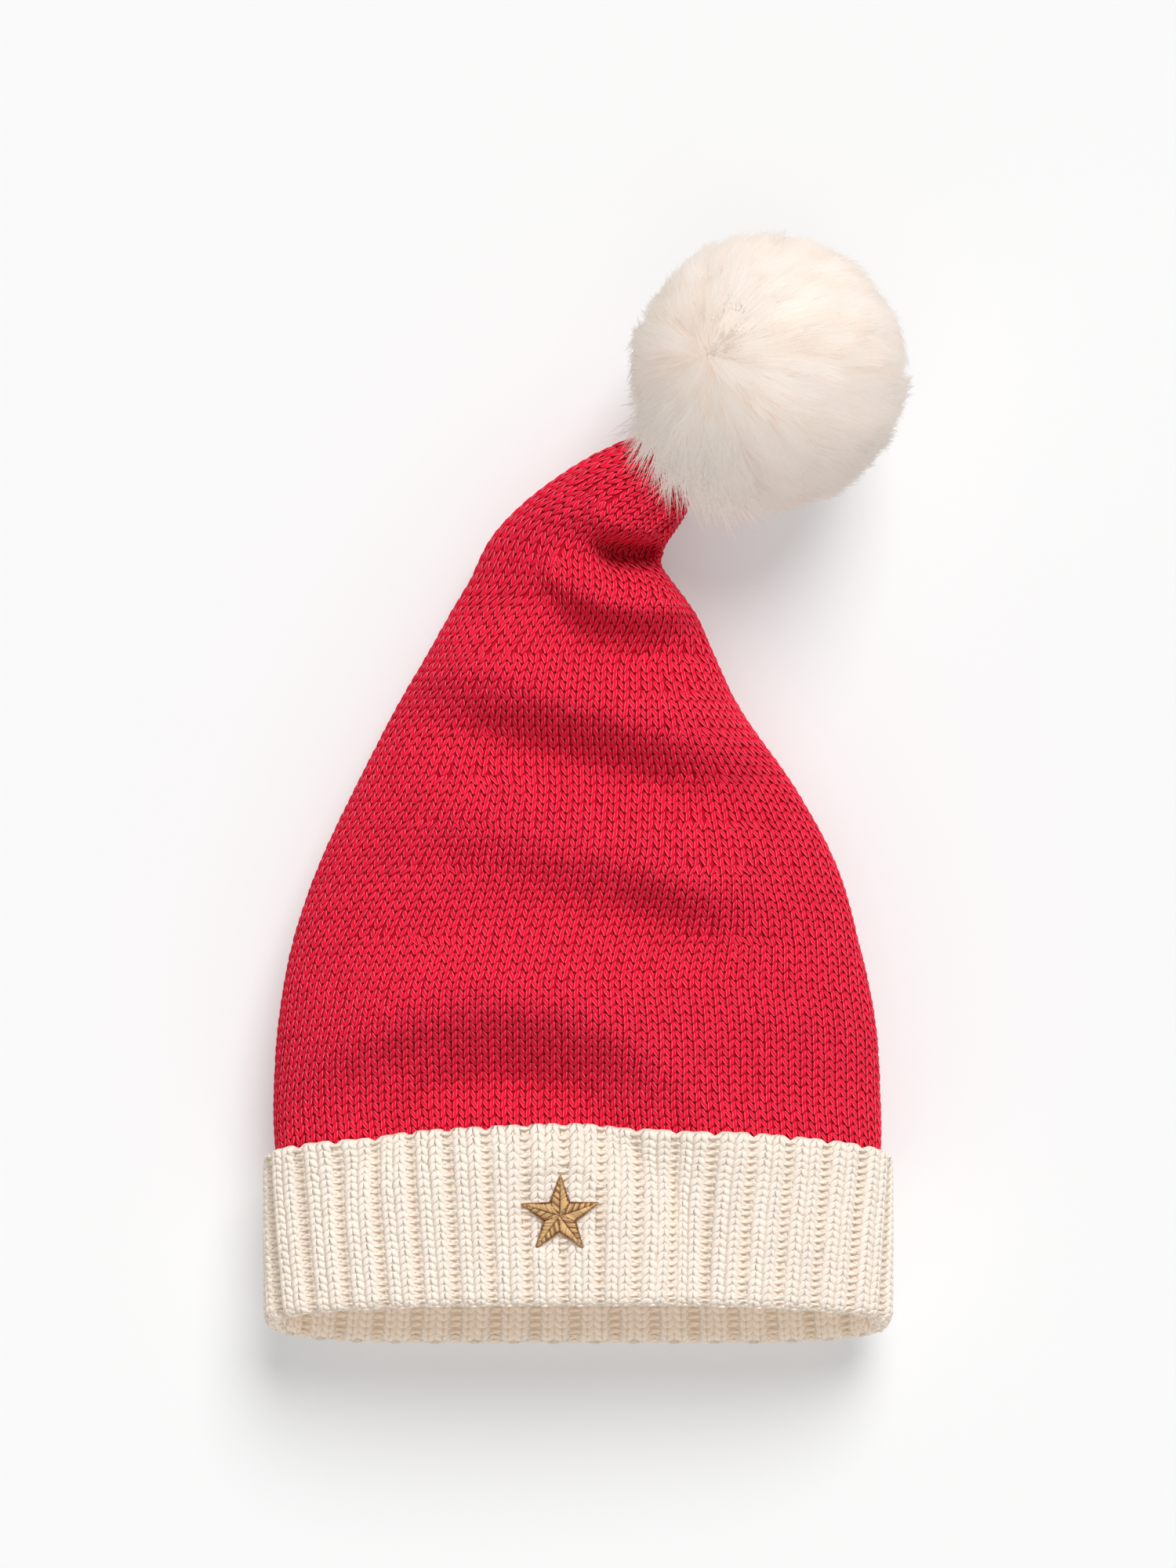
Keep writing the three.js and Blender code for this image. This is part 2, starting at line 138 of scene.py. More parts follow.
# Vectors made one long.
def unit(vectors):
    return vectors / np.maximum(np.linalg.norm(vectors, axis=-1, keepdims=True), 1e-9)


# Rows of the section table as smooth curves: a Catmull-Rom spline through them, at a place such
# as 2.5 for half way from row 2 to row 3.
def smoothRows(table, place):
    last = len(table) - 1
    row = np.clip(place.astype(int), 0, last - 1)
    t = (place - row)[:, None]
    a, b, c, d = (table[np.clip(row + i, 0, last)] for i in (-1, 0, 1, 2))
    return b + 0.5 * t * (c - a + t * (2 * a - 5 * b + 4 * c - d + t * (3 * (b - c) + d - a)))


# The middle line of the hat and its length, by adding up short steps.
spinePlace = np.linspace(0, len(sections) - 1, (len(sections) - 1) * hatForm["samples"] + 1)
spineScale = [hatForm["crownLength"], hatForm["crownWidth"]]
spinePoint = smoothRows(sections, spinePlace)[:, :2] * spineScale
spineStep = np.linalg.norm(np.diff(spinePoint, axis=0), axis=1)
spineLength = np.concatenate([[0], np.cumsum(spineStep)])
hatLength = spineLength[-1]


# Sections at distances along the spine. Below the cuff's top edge they run on straight.
def sectionsAt(distance):
    inside = np.clip(distance, 0, hatLength)
    row = smoothRows(sections, np.interp(inside, spineLength, spinePlace))
    lean = np.radians(row[:, 5])
    beyond = distance - inside
    seat = 1 - smoothStep(0, hatForm["settleLength"], distance)
    seat = seat * (cuffForm["wall"] + cuffForm["slot"])
    return {
        "x": (row[:, 1] * hatForm["crownWidth"] - beyond * np.sin(lean))[:, None],
        "y": (row[:, 0] * hatForm["crownLength"] + beyond * np.cos(lean))[:, None],
        "lean": lean[:, None],
        "half": (row[:, 2] * hatForm["crownWidth"] / 2)[:, None],
        "top": (row[:, 3] * hatForm["crownRise"])[:, None],
        "under": (np.maximum(row[:, 4], 0) * hatForm["crownRise"] + seat)[:, None],
        "slant": row[:, 6][:, None],
    }


# Height of the folds at places seen from above: each is a bell across its line, wider to one
# side, that fades at the ends of the line with the fourth power.
def foldHeight(x, y):
    total = np.zeros_like(x)
    for along, across, heading, half, bow, tipSide, cuffSide, height in folds:
        angle = math.radians(heading)
        dx = x - across * hatForm["crownWidth"]
        dy = y - along * hatForm["crownLength"]
        run = (dx * math.cos(angle) + dy * math.sin(angle)) / (half * hatForm["crownWidth"])
        off = dy * math.cos(angle) - dx * math.sin(angle) + bow * hatForm["crownWidth"] * run**2
        spread = np.where(off > 0, tipSide, cuffSide) * hatForm["crownLength"]
        total += height * hatForm["crownRise"] * np.exp(-0.5 * (off / spread) ** 2 - run**4)
    return total


# The hat's skin on a grid of distances and angles from the top line: a superellipse that the
# table flattens below, sheared by the slant, with the folds on its upper side.
def skinAt(distance, angle):
    s = sectionsAt(distance)
    side, up = np.sin(angle)[None, :], np.cos(angle)[None, :]
    middle = s["under"] + (s["top"] - s["under"]) * hatForm["waist"]
    power = np.where(up > 0, hatForm["upperPower"], hatForm["lowerPower"])
    rise = np.where(up > 0, s["top"] - middle, middle - s["under"])
    height = middle + rise * signedPower(up, power) + hatForm["pressed"] * np.minimum(up, 0)
    height = np.maximum(np.maximum(height, s["under"]), 0)
    across = s["half"] * signedPower(side, power)
    along = s["slant"] * (height - middle)
    x = s["x"] + across * np.cos(s["lean"]) - along * np.sin(s["lean"])
    y = s["y"] + across * np.sin(s["lean"]) + along * np.cos(s["lean"])
    return np.stack([x, y, height + foldHeight(x, y) * smoothStep(0.05, 0.7, up)], axis=-1)


# The same skin by shares of each section's girth, so that stitches keep their width. It is kept
# as a table with its normals and read between its points.
def makeSkin(stepLength=1.0, shares=512, angles=513):
    distance = np.arange(hatForm["skinStart"], hatLength + 3, stepLength)
    rough = skinAt(distance, np.linspace(0, 2 * math.pi, angles))
    girth = np.concatenate([
        np.zeros((len(distance), 1)),
        np.cumsum(np.linalg.norm(np.diff(rough, axis=1), axis=2), axis=1),
    ], axis=1)
    share = girth / girth[:, -1:]
    row = np.arange(len(distance))[:, None]
    wanted = (row * 2 + np.linspace(0, 1, shares, endpoint=False)[None, :]).ravel()
    known = (row * 2 + share).ravel()
    points = np.stack([
        np.interp(wanted, known, rough[..., k].ravel()).reshape(-1, shares) for k in range(3)
    ], axis=-1)
    around = np.roll(points, -1, axis=1) - np.roll(points, 1, axis=1)
    onward = np.gradient(points, axis=0)
    normal = np.cross(around, onward)
    for _ in range(3):
        normal = (np.roll(normal, 1, axis=1) + 2 * normal + np.roll(normal, -1, axis=1)) / 4
    return {"start": distance[0], "step": stepLength, "points": points, "normal": unit(normal),
            "girth": girth[:, -1], "distance": distance}


hatSkin = makeSkin()


# Girth of the hat at distances, read from the table.
def girthAt(distance):
    return np.interp(distance, hatSkin["distance"], hatSkin["girth"])


# Points on the skin at a distance, a share of the girth and a height out along the normal, mixed
# from the four nearest points of the table and kept over the floor. The gathers are a cosine
# round the hat, added to the height near the tip.
def onSkin(distance, share, height):
    rows, columns = hatSkin["points"].shape[:2]
    row = np.clip((distance - hatSkin["start"]) / hatSkin["step"], 0, rows - 1.001)
    column = (share - np.floor(share)) * columns
    i, j = row.astype(int), column.astype(int) % columns
    u, v = (row - i)[..., None], (column - np.floor(column))[..., None]
    k = (j + 1) % columns

    def mixed(grid):
        near = grid[i, j] * (1 - v) + grid[i, k] * v
        far = grid[i + 1, j] * (1 - v) + grid[i + 1, k] * v
        return near * (1 - u) + far * u

    drawn = smoothStep(-hatForm["gatherFrom"], -hatForm["gatherFull"], distance - hatLength)
    ridge = np.cos(share * 2 * math.pi * hatForm["gathers"])
    height = height + drawn * hatForm["gather"] * ridge
    point = mixed(hatSkin["points"]) + mixed(hatSkin["normal"]) * height[..., None]
    point[..., 2] = np.maximum(point[..., 2], 0.02)
    return point


# From the hat's own middle line to the frame: its cuff is centred on the node's box, and its
# crown ends where the node does.
cuffBox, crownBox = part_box("rib_knit_cuff"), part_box("red_knit_crown")
frameShift = np.array([
    (cuffBox[0][0] + cuffBox[1][0]) / 2,
    crownBox[1][1] - hatSkin["points"][hatSkin["distance"] <= hatLength][..., 1].max() * mm,
    0,
])
print("hat: skin worked out, shift", np.round(frameShift * 1000, 2))


# A closed mesh object from points in millimetres, triangles, and values for materials to read:
# corner uv pairs and one number a point.
def makeMesh(name, points, triangles, material, uv=None, values=None):
    mesh = bpy.data.meshes.new(name)
    mesh.vertices.add(len(points))
    mesh.vertices.foreach_set("co", (points * mm + frameShift).astype(np.float32).ravel())
    mesh.loops.add(triangles.size)
    mesh.loops.foreach_set("vertex_index", triangles.astype(np.int32).ravel())
    mesh.polygons.add(len(triangles))
    mesh.polygons.foreach_set("loop_start", np.arange(0, triangles.size, 3, dtype=np.int32))
    if uv is not None:
        layer = mesh.uv_layers.new(name="thread")
        layer.data.foreach_set("uv", uv.astype(np.float32).ravel())
    for key, column in (values or {}).items():
        attribute = mesh.attributes.new(key, "FLOAT", "POINT")
        attribute.data.foreach_set("value", column.astype(np.float32).ravel())
    mesh.polygons.foreach_set("use_smooth", np.ones(len(triangles), dtype=bool))
    mesh.update(calc_edges=True)
    mesh.validate()
    mesh.materials.append(material)
    piece = bpy.data.objects.new(name, mesh)
    bpy.context.scene.collection.objects.link(piece)
    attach(piece, "root")
    return piece


# Triangles of a tube: rings joined each to the next, with a point at each end. Also the place
# along and around of each corner, with the seam unwrapped, for its uv map.
def tubeFaces(rings, sides):
    ring, side = np.meshgrid(np.arange(rings - 1), np.arange(sides), indexing="ij")
    ring, side = ring.ravel(), side.ravel()
    after = (side + 1) % sides
    a, b = ring * sides + side, ring * sides + after
    c, d = b + sides, a + sides
    body = np.concatenate([np.stack([a, b, c], 1), np.stack([a, c, d], 1)])
    along0, along1 = (ring + 1) / (rings + 1), (ring + 2) / (rings + 1)
    v0, v1 = side / sides, (side + 1) / sides
    bodyUv = np.concatenate([
        np.stack([along0, v0, along0, v1, along1, v1], 1),
        np.stack([along0, v0, along1, v1, along1, v0], 1),
    ])
    k = np.arange(sides)
    n = (k + 1) % sides
    first, last = rings * sides, rings * sides + 1
    ends = np.concatenate([
        np.stack([np.full(sides, first), n, k], 1),
        np.stack([np.full(sides, last), k + (rings - 1) * sides, n + (rings - 1) * sides], 1),
    ])
    top = np.full(sides, rings / (rings + 1))
    low = np.full(sides, 1 / (rings + 1))
    endUv = np.concatenate([
        np.stack([low * 0, (k + 0.5) / sides, low, (k + 1) / sides, low, k / sides], 1),
        np.stack([top * 0 + 1, (k + 0.5) / sides, top, k / sides, top, (k + 1) / sides], 1),
    ])
    return np.concatenate([body, ends]), np.concatenate([bodyUv, endUv]).reshape(-1, 3, 2)


# One tube's triangles and uv repeated for every tube of a piece.
def repeatFaces(count, rings, sides):
    faces, uv = tubeFaces(rings, sides)
    size = rings * sides + 2
    allFaces = (faces[None] + (np.arange(count) * size)[:, None, None]).reshape(-1, 3)
    return allFaces, np.tile(uv.reshape(-1), count)


# Tubes swept along lines: at each inner point of a line a ring, its points set to the side and
# up from the line, where up is nearest to the way given; then the line's two ends.
def sweepTubes(line, facing, girth, across, out):
    run = unit(line[:, 2:] - line[:, :-2])
    side = unit(np.cross(facing, run))
    up = np.cross(run, side)
    ring = side[:, :, None] * across[:, None] + up[:, :, None] * out[:, None]
    ring = (line[:, 1:-1, None] + girth * ring).reshape(len(line), -1, 3)
    return np.concatenate([ring, line[:, :1], line[:, -1:]], axis=1)


stitchForm = {
    "width": 3.6,        # one knit stitch
    "height": 2.85,      # one course
    "castOn": 112,       # stitches round at the cuff
    "legFrom": 0.05,     # where a leg starts from the middle of its stitch, in widths
    "legTo": 0.42,       # where it ends
    "reach": 1.42,       # its length up the hat, in courses
    "thick": 0.21,       # its radius, in widths
    "flatness": 0.62,    # its height to its breadth
    "sunkFoot": 0.15,    # how deep its lower end lies under its middle, in millimetres
    "sunkHead": 0.4,     # and its upper end, which goes behind the next stitch
    "sunk": 0.1,         # how deep the whole leg lies in the skin
    "spread": (0.03, 0.05, 0.08),  # scatter of legs across, up and out
    "sizeSpread": 0.05,
}


# A tube drawn in its own stitch: the rings' points round places of its middle line, then the
# line's two ends.
def tubeShape(centre, t, ring):
    middle = np.stack(centre(t), axis=-1)[:, None]
    ends = np.stack(centre(np.array([0.0, 1.0])), axis=-1)
    return np.concatenate([(middle + np.stack(ring, axis=-1)).reshape(-1, 3), ends])


# Legs of stitches, each a tube that is fat in its middle and sinks at both ends. A leg is drawn
# in its own stitch: across in widths, up in courses, and out in millimetres, with the radius
# going as a root of a sine along it. Rings lie square to the leg, so a slanted leg stays round.
def legShape(side, rings, sides, form):
    t = (np.arange(rings) + 0.35) / (rings - 0.3)
    angle = np.arange(sides) * 2 * math.pi / sides

    def centre(t):
        across = side * (form["legFrom"] + (form["legTo"] - form["legFrom"]) * t**0.9)
        up = -0.28 + form["reach"] * t
        out = -form["sunkFoot"] * np.clip(1 - t / 0.35, 0, 1) ** 2
        out = out - form["sunkHead"] * np.clip((t - 0.45) / 0.55, 0, 1) ** 2
        return across, up, out

    radius = form["thick"] * np.sin(math.pi * (0.14 + 0.7 * t[:, None])) ** 0.5
    slope = side * (form["legTo"] - form["legFrom"]) / form["reach"]
    width = stitchForm["width"]
    course = stitchForm["height"]
    tilt = math.atan2(slope * width, course)
    return tubeShape(centre, t, [
        radius * np.sin(angle) * math.cos(tilt),
        -radius * np.sin(angle) * math.sin(tilt) * width / course,
        radius * np.cos(angle) * form["flatness"] * width,
    ])


# A fixed scatter of numbers between -1 and 1, the same in every run.
def scatter(count, seed):
    return np.random.default_rng(seed).uniform(-1, 1, count)


# The left and right legs of stitches, each with a little scatter in place and size.
def scatterLegs(count, seed, rings, sides, form, scale=1):
    shape = np.stack([legShape(side, rings, sides, form) for side in (-1, 1)])[None]
    wander = scatter((count, 2, 3), seed)[..., None]
    acrossSpread, upSpread, outSpread = form["spread"]
    size = 1 + form["sizeSpread"] * wander[:, :, 2]
    across = shape[..., 0] * size + acrossSpread * wander[:, :, 0]
    up = shape[..., 1] * size + upSpread * wander[:, :, 1]
    out = shape[..., 2] * scale - form["sunk"] + outSpread * wander[:, :, 1]
    return across, up, out


panelForm = {
    "firstCourse": -2,      # the courses start behind the cuff's top edge
    "lastCourse": 85,
    "tidyEdge": 4,          # how fast the wales even out beside a decrease line
    "names": ["front", "right", "back", "left"],
}


# Middle line of the front panel, in millimetres from the hat's top line: it drifts to the side
# that the tip bends to.
def panelMiddle(distance):
    return np.interp(distance, [50, 83, 112, 155, 166, 200], [-6.5, 0, 3, 5, 10, 10])


# Wales of one panel at each course: arc places from the panel's middle line, evenly apart, the
# outermost half a stitch inside the panel's edge, and whether each wale is still there.
def panelWales(distance):
    girth = girthAt(distance)
    width = np.maximum(stitchForm["width"], girth / stitchForm["castOn"])[:, None]
    edge = (girth / 8)[:, None]
    wale = np.arange(-13.5, 14)[None, :]
    outer = np.maximum(np.round(edge / width) - 0.5, 0.5)
    mend = (edge - width / 2 - outer * width) * (np.abs(wale) / outer) ** panelForm["tidyEdge"]
    there = np.abs(wale) <= outer
    ended = np.sign(wale) * (edge - width / 2)
    place = np.where(there, wale * width + np.sign(wale) * mend, ended)
    return place, there, width, girth


# All stitches of a panel: for each, its distance, its share of the girth there and a course
# further on, and its width. A wale that ends leans over its neighbour, as a decrease does.
def panelStitches(number):
    course = np.arange(panelForm["firstCourse"], panelForm["lastCourse"])
    distance = course * stitchForm["height"]
    after = distance + stitchForm["height"]
    place, there, width, girth = panelWales(distance)
    placeOn, _, _, girthOn = panelWales(after)
    girth, girthOn = girth[:, None], girthOn[:, None]
    share = (panelMiddle(distance)[:, None] + number * girth / 4 + place) / girth
    shareOn = (panelMiddle(after)[:, None] + number * girthOn / 4 + placeOn) / girthOn
    parts = (distance[:, None], share, shareOn, width, girth)
    return [np.broadcast_to(part, place.shape)[there] for part in parts]


# The red knit: each stitch has a left and a right leg, drawn in the stitch and carried to the
# skin. It leans with its wale, by less than half its width.
def makeCrownPanel(number, material, rings=3, sides=5):
    distance, share, shareOn, width, girth = panelStitches(number)
    count = len(distance)
    across, up, out = scatterLegs(count, 11 + number, rings, sides, stitchForm)
    most = 0.45 * width / girth
    lean = np.clip(shareOn - share, -most, most)[:, None, None]
    legShare = share[:, None, None] + lean * up + across * (width / girth)[:, None, None]
    legDistance = distance[:, None, None] + up * stitchForm["height"]
    points = onSkin(legDistance, legShare, out).reshape(-1, 3)
    faces, uv = repeatFaces(count * 2, rings, sides)
    tone = np.repeat(scatter(count * 2, 51 + number), rings * sides + 2)
    name = f"knit_{panelForm['names'][number]}"
    # The depth value gives painted shade where a leg's ends sink under the next stitch.
    piece = makeMesh(name, points, faces, material, uv, {"tone": tone, "depth": out.ravel()})
    print(f"{name}: {count} stitches, {len(faces)} triangles")
    return piece


# A closed wall from rings of points, each joined to the next. Open ends are closed by a fan
# round their middle.
def loftFaces(rings, columns, loop):
    i, k = np.meshgrid(np.arange(rings if loop else rings - 1), np.arange(columns), indexing="ij")
    i, k = i.ravel(), k.ravel()
    j, n = (i + 1) % rings, (k + 1) % columns
    a, b, c, d = i * columns + k, i * columns + n, j * columns + n, j * columns + k
    faces = [np.stack([a, b, c], 1), np.stack([a, c, d], 1)]
    if not loop:
        k = np.arange(columns)
        n = (k + 1) % columns
        last = (rings - 1) * columns
        faces.append(np.stack([np.full(columns, rings * columns), n, k], 1))
        faces.append(np.stack([np.full(columns, rings * columns + 1), k + last, n + last], 1))
    return np.concatenate(faces)


# The crown's cloth under its stitches: the lining from the tip to the rim, then the outside back to
# the tip, a little under the skin. Its darker red is painted shade that shows in the gaps between
# the stitches.
def makeCrownCloth(material, columns=120):
    rim = cuffForm["slot"] - cuffForm["tuck"]
    lining = np.linspace(hatLength - 7, rim, 60)
    outside = np.linspace(rim, hatLength - 0.5, 100)
    share = np.arange(columns) / columns

    def rings(distance, height):
        d, s = np.broadcast_arrays(distance[:, None], share[None, :])
        return onSkin(d, s, np.full(d.shape, height))

    grid = np.concatenate([rings(lining, -hatForm["crownWall"]), rings(outside, -0.55)])
    points = np.concatenate([grid.reshape(-1, 3), [grid[0].mean(0), grid[-1].mean(0)]])
    piece = makeMesh("crown_cloth", points, loftFaces(len(grid), columns, False), material)
    print("crown_cloth:", len(piece.data.polygons), "triangles")
    return piece


# The cuff's outline as a path, from its top edge down the outer layer, round the fold and up the
# inner layer: distance, offset from the crown, and the way out as two shares. Straight runs and
# half rounds. Below zero the path turns over the top edge.
def cuffPath(q):
    outer = cuffForm["slot"] + cuffForm["wall"]
    inner = -cuffForm["wall"]
    fold = (outer - inner) / 2
    edge = cuffForm["wall"] / 2
    straight = cuffForm["height"] - fold
    turnStart = straight - edge
    turnEnd = turnStart + math.pi * fold
    over = np.clip(-q / edge, 0, math.pi)
    under = np.clip((q - turnStart) / fold, 0, math.pi)
    down = np.where(q < turnStart, -edge - q, -straight - fold * np.sin(under))
    distance = np.where(q < 0, -edge + edge * np.sin(over), down) + np.maximum(q - turnEnd, 0)
    edgeOut, foldOut = edge * (np.cos(over) - 1), fold * (np.cos(under) - 1)
    offset = outer + np.where(q < 0, edgeOut, foldOut)
    along = np.where(q < 0, np.sin(over), -np.sin(under))
    out = np.where(q < 0, np.cos(over), np.cos(under))
    return distance, offset, along, out


# Radius of the fold, and the path lengths at its middle and at the path's end.
cuffTurn = (cuffForm["slot"] + 2 * cuffForm["wall"]) / 2
cuffFoldAt = cuffForm["height"] - cuffTurn - cuffForm["wall"] / 2 + math.pi * cuffTurn / 2
cuffEndAt = cuffFoldAt + math.pi * cuffTurn / 2 + cuffForm["height"] - cuffTurn - cuffForm["tuck"]

starForm = {
    "size": 24.0,        # tip to tip
    "notch": 0.42,       # share of its radius where two arms meet
    "down": 0.47,        # share of the cuff's height, from its top edge
    "across": -0.03,     # share of the crown's width, from the middle line
    "threadWidth": 0.5,
}
starDistance = -starForm["down"] * cuffForm["height"]
starGirth = float(girthAt(starDistance))
starShare = starForm["across"] * hatForm["crownWidth"] / starGirth


# How far a place on the cuff is from the star's middle, in millimetres.
def fromStar(distance, share):
    around = (share - np.round(share) - starShare) * starGirth
    return np.hypot(around, distance - starDistance)


# Height of the rib over its full height: zero on its pair of knit wales, and the valley's depth
# between them, a smooth step across each flank. Inside, wales and valleys change places. The rib
# is shallow at the top edge and on the fold, and even under the star.
def ribLift(q, phase, distance, share):
    off = np.abs(phase - np.round(phase))
    inner = smoothStep(cuffFoldAt - 3, cuffFoldAt + 3, q)
    shown = 0.3 + 0.7 * smoothStep(-1, 5, q) * (1 - 0.6 * np.exp(-((q - cuffFoldAt) / 3) ** 2))

    def lift(p):
        swell = cuffForm["swell"] * np.sin(math.pi * np.clip((p - 0.1) / 0.8, 0, 1))
        valley = cuffForm["valley"] * (1 - smoothStep(*cuffForm["flank"], p))
        return shown * (swell - valley) - cuffForm["parting"] * np.exp(-((p - 0.5) / 0.04) ** 2)

    free = lift(off) * (1 - inner) + lift(0.5 - off) * inner
    reach = fromStar(distance, share) / starForm["size"]
    press = (1 - smoothStep(0.42, 0.62, reach)) * (1 - inner)
    return free * (1 - press) - cuffForm["starPress"] * press


# Share of the girth at rib phases. The ribs crowd to the middle line towards the mouth, with a
# sine round the hat.
def ribShare(phase, distance):
    share = (phase + cuffForm["ribShift"]) / cuffForm["ribs"]
    pull = cuffForm["ribPull"] * distance / cuffForm["height"] / (2 * math.pi)
    return share + pull * np.sin(share * 2 * math.pi)


# Points of the cuff at a path length, a rib phase and a height over the rib. The top edge bows
# up beside the middle line, as a bell.
def onCuff(q, phase, height):
    distance, offset, along, out = cuffPath(q)
    share = ribShare(phase, distance)
    lift = height + ribLift(q, phase, distance, share)
    off = (share - np.round(share) - 0.01) / 0.12
    rise = cuffForm["edgeRise"] * np.exp(-off**2) * (1 + distance / cuffForm["height"])
    return onSkin(distance + rise + along * lift, share, offset + out * lift)


# The cuff's cloth under its stitches: its path with the ribs, then the slot between its layers.
def makeCuffCloth(material):
    columns = cuffForm["ribs"] * 6
    phase = np.arange(columns) / 6
    q = np.concatenate([
        np.linspace(-cuffForm["wall"] * 0.7, cuffFoldAt - 6, 26),
        np.linspace(cuffFoldAt - 5, cuffFoldAt + 5, 12),
        np.linspace(cuffFoldAt + 6, cuffEndAt, 16),
    ])
    qGrid, phaseGrid = np.broadcast_arrays(q[:, None], phase[None, :])
    off = np.abs(phaseGrid - np.round(phaseGrid))
    off = np.where(qGrid > cuffFoldAt, 0.5 - off, off)
    shown = onCuff(qGrid, phaseGrid, -0.16 - 0.6 * (1 - smoothStep(0.03, 0.17, off)))
    slotEnd = cuffForm["wall"] - cuffForm["height"]
    slot = [[d, 0] for d in np.linspace(-cuffForm["tuck"], slotEnd, 6)]
    slot += [[d, cuffForm["slot"]] for d in np.linspace(slotEnd, -1.2, 8)]
    distance, offset = (np.repeat(part[:, None], columns, axis=1) for part in np.array(slot).T)
    hidden = onSkin(distance, ribShare(phase, distance), offset)
    grid = np.concatenate([shown, hidden])
    faces = loftFaces(len(grid), columns, True)[:, ::-1]
    # The cloth takes the painted shade of a point a millimetre deep.
    depth = np.full(len(grid) * columns, -1.0)
    values = {"depth": depth, "tone": depth * 0}
    piece = makeMesh("cuff_cloth", grid.reshape(-1, 3), faces, material, None, values)
    print("cuff_cloth:", len(faces), "triangles")
    return piece


# The cuff's stitches, with the legs given as in stitchForm.
ribStitch = {
    "legFrom": 0.05,
    "legTo": 0.44,
    "reach": 1.42,
    "thick": 0.29,
    "flatness": 0.32,
    "sunkFoot": 0.1,
    "sunkHead": 0.3,
    "sunk": 0.15,
    "spread": (0.035, 0.06, 0.09),
    "sizeSpread": 0.06,
    "knitWidth": 0.37,    # of a knit wale, as a share of a rib
    "purlWidth": 0.26,    # of a purl column
    "purlThick": 0.6,     # radius of a purl bump
    "purlArch": 0.2,      # how far it bows, in courses
}


# A purl bump: a short tube laid across its column, bowed as a parabola, its ends sunk.
def purlShape(rings, sides, form):
    t = (np.arange(rings) + 0.8) / (rings + 0.6)
    angle = np.arange(sides) * 2 * math.pi / sides

    def centre(t):
        x = 2 * t - 1
        return 0.62 * x, form["purlArch"] * (1 - x**2), -0.6 * x**2

    radius = form["purlThick"] * np.sin(math.pi * (0.12 + 0.76 * t[:, None])) ** 0.6
    ringUp = -radius * np.sin(angle) / cuffForm["courseHeight"]
    return tubeShape(centre, t, [0 * ringUp, ringUp, radius * np.cos(angle)])


# One side of the cuff: knit wales of legs and purl columns of bumps. Every stitch sits at a path
# length and a rib phase and is carried to the rib's surface point by point.
def makeRibSide(name, material, rows, knitPhases, purlPhases, seed, rings=3, sides=5):
    ribs = np.arange(cuffForm["ribs"])[:, None]
    course = cuffForm["courseHeight"]
    knitWidth, purlWidth = ribStitch["knitWidth"], ribStitch["purlWidth"]
    scale = knitWidth * starGirth / cuffForm["ribs"] / stitchForm["width"]

    def places(phases, rows):
        grid = np.meshgrid((ribs + phases).ravel(), rows * course, indexing="ij")
        return [values.ravel() for values in grid]

    # Depth under the rib's top, which sets the painted shade: the purl valleys come out darker tan.
    def depthOf(q, phase, out):
        return (out + ribLift(q, phase, cuffPath(q)[0], np.full(q.shape, 0.5))).ravel()

    phase, q = places(knitPhases, rows)
    across, up, legOut = scatterLegs(len(q), seed, rings, sides, ribStitch, scale)
    legTone = scatter(len(q) * 2, seed + 2)
    legQ = q[:, None, None] + up * course
    legPhase = phase[:, None, None] + across * knitWidth
    legs = onCuff(legQ, legPhase, legOut).reshape(-1, 3)
    legFaces, legUv = repeatFaces(len(q) * 2, rings, sides)

    # Two bumps a course, set to the left and to the right by turns.
    halfRows = np.arange(1, 2 * len(rows)) / 2 + rows[0]
    zigzag = np.where(np.arange(len(halfRows)) % 2, 1, -1)
    bumpRings, bumpSides = 2, 4
    phase, q = places(purlPhases, halfRows)
    turn = np.tile(zigzag, len(phase) // len(halfRows))[:, None]
    bump = purlShape(bumpRings, bumpSides, ribStitch)[None]
    bumpWander = scatter((len(q), 2), seed + 1)
    bumpQ = q[:, None] + (bump[..., 1] * turn + 0.1 * bumpWander[:, :1]) * course
    bumpPhase = phase[:, None] + (bump[..., 0] * turn + 0.12 * turn) * purlWidth
    bumpOut = bump[..., 2] + 0.3 + 0.1 * bumpWander[:, 1:]
    bumps = onCuff(bumpQ, bumpPhase, bumpOut).reshape(-1, 3)
    bumpFaces, bumpUv = repeatFaces(len(q), bumpRings, bumpSides)

    faces = np.concatenate([legFaces, bumpFaces + len(legs)])[:, ::-1]
    uv = np.concatenate([legUv, bumpUv]).reshape(-1, 3, 2)[:, ::-1]
    bumpTone = scatter(len(q), seed + 3)
    values = {
        "tone": np.concatenate([
            np.repeat(legTone, rings * sides + 2), np.repeat(bumpTone, bumpRings * bumpSides + 2)]),
        "depth": np.concatenate([
            depthOf(legQ, legPhase, legOut), depthOf(bumpQ, bumpPhase, bumpOut)]),
    }
    piece = makeMesh(name, np.concatenate([legs, bumps]), faces, material, uv, values)
    print(f"{name}: {len(faces)} triangles")
    return piece


# sRGB hex to the linear colour that nodes take.
def colour(hexText):
    values = [int(hexText[i:i + 2], 16) / 255 for i in (1, 3, 5)]
    return [v / 12.92 if v <= 0.04045 else ((v + 0.055) / 1.055) ** 2.4 for v in values] + [1]


# Sets inputs of a node: from values, from outputs, or from a node, for its first output.
def setInputs(tree, node, inputs):
    for key, value in inputs.items():
        if isinstance(value, bpy.types.Node):
            value = value.outputs[0]
        if isinstance(value, bpy.types.NodeSocket):
            tree.links.new(value, node.inputs[key])
        else:
            node.inputs[key].default_value = value


# Adds a node, with its settings by name and its inputs as above.
def addNode(tree, kind, inputs=None, **settings):
    node = tree.nodes.new(kind)
    for key, value in settings.items():
        setattr(node, key, value)
    setInputs(tree, node, inputs or {})
    return node


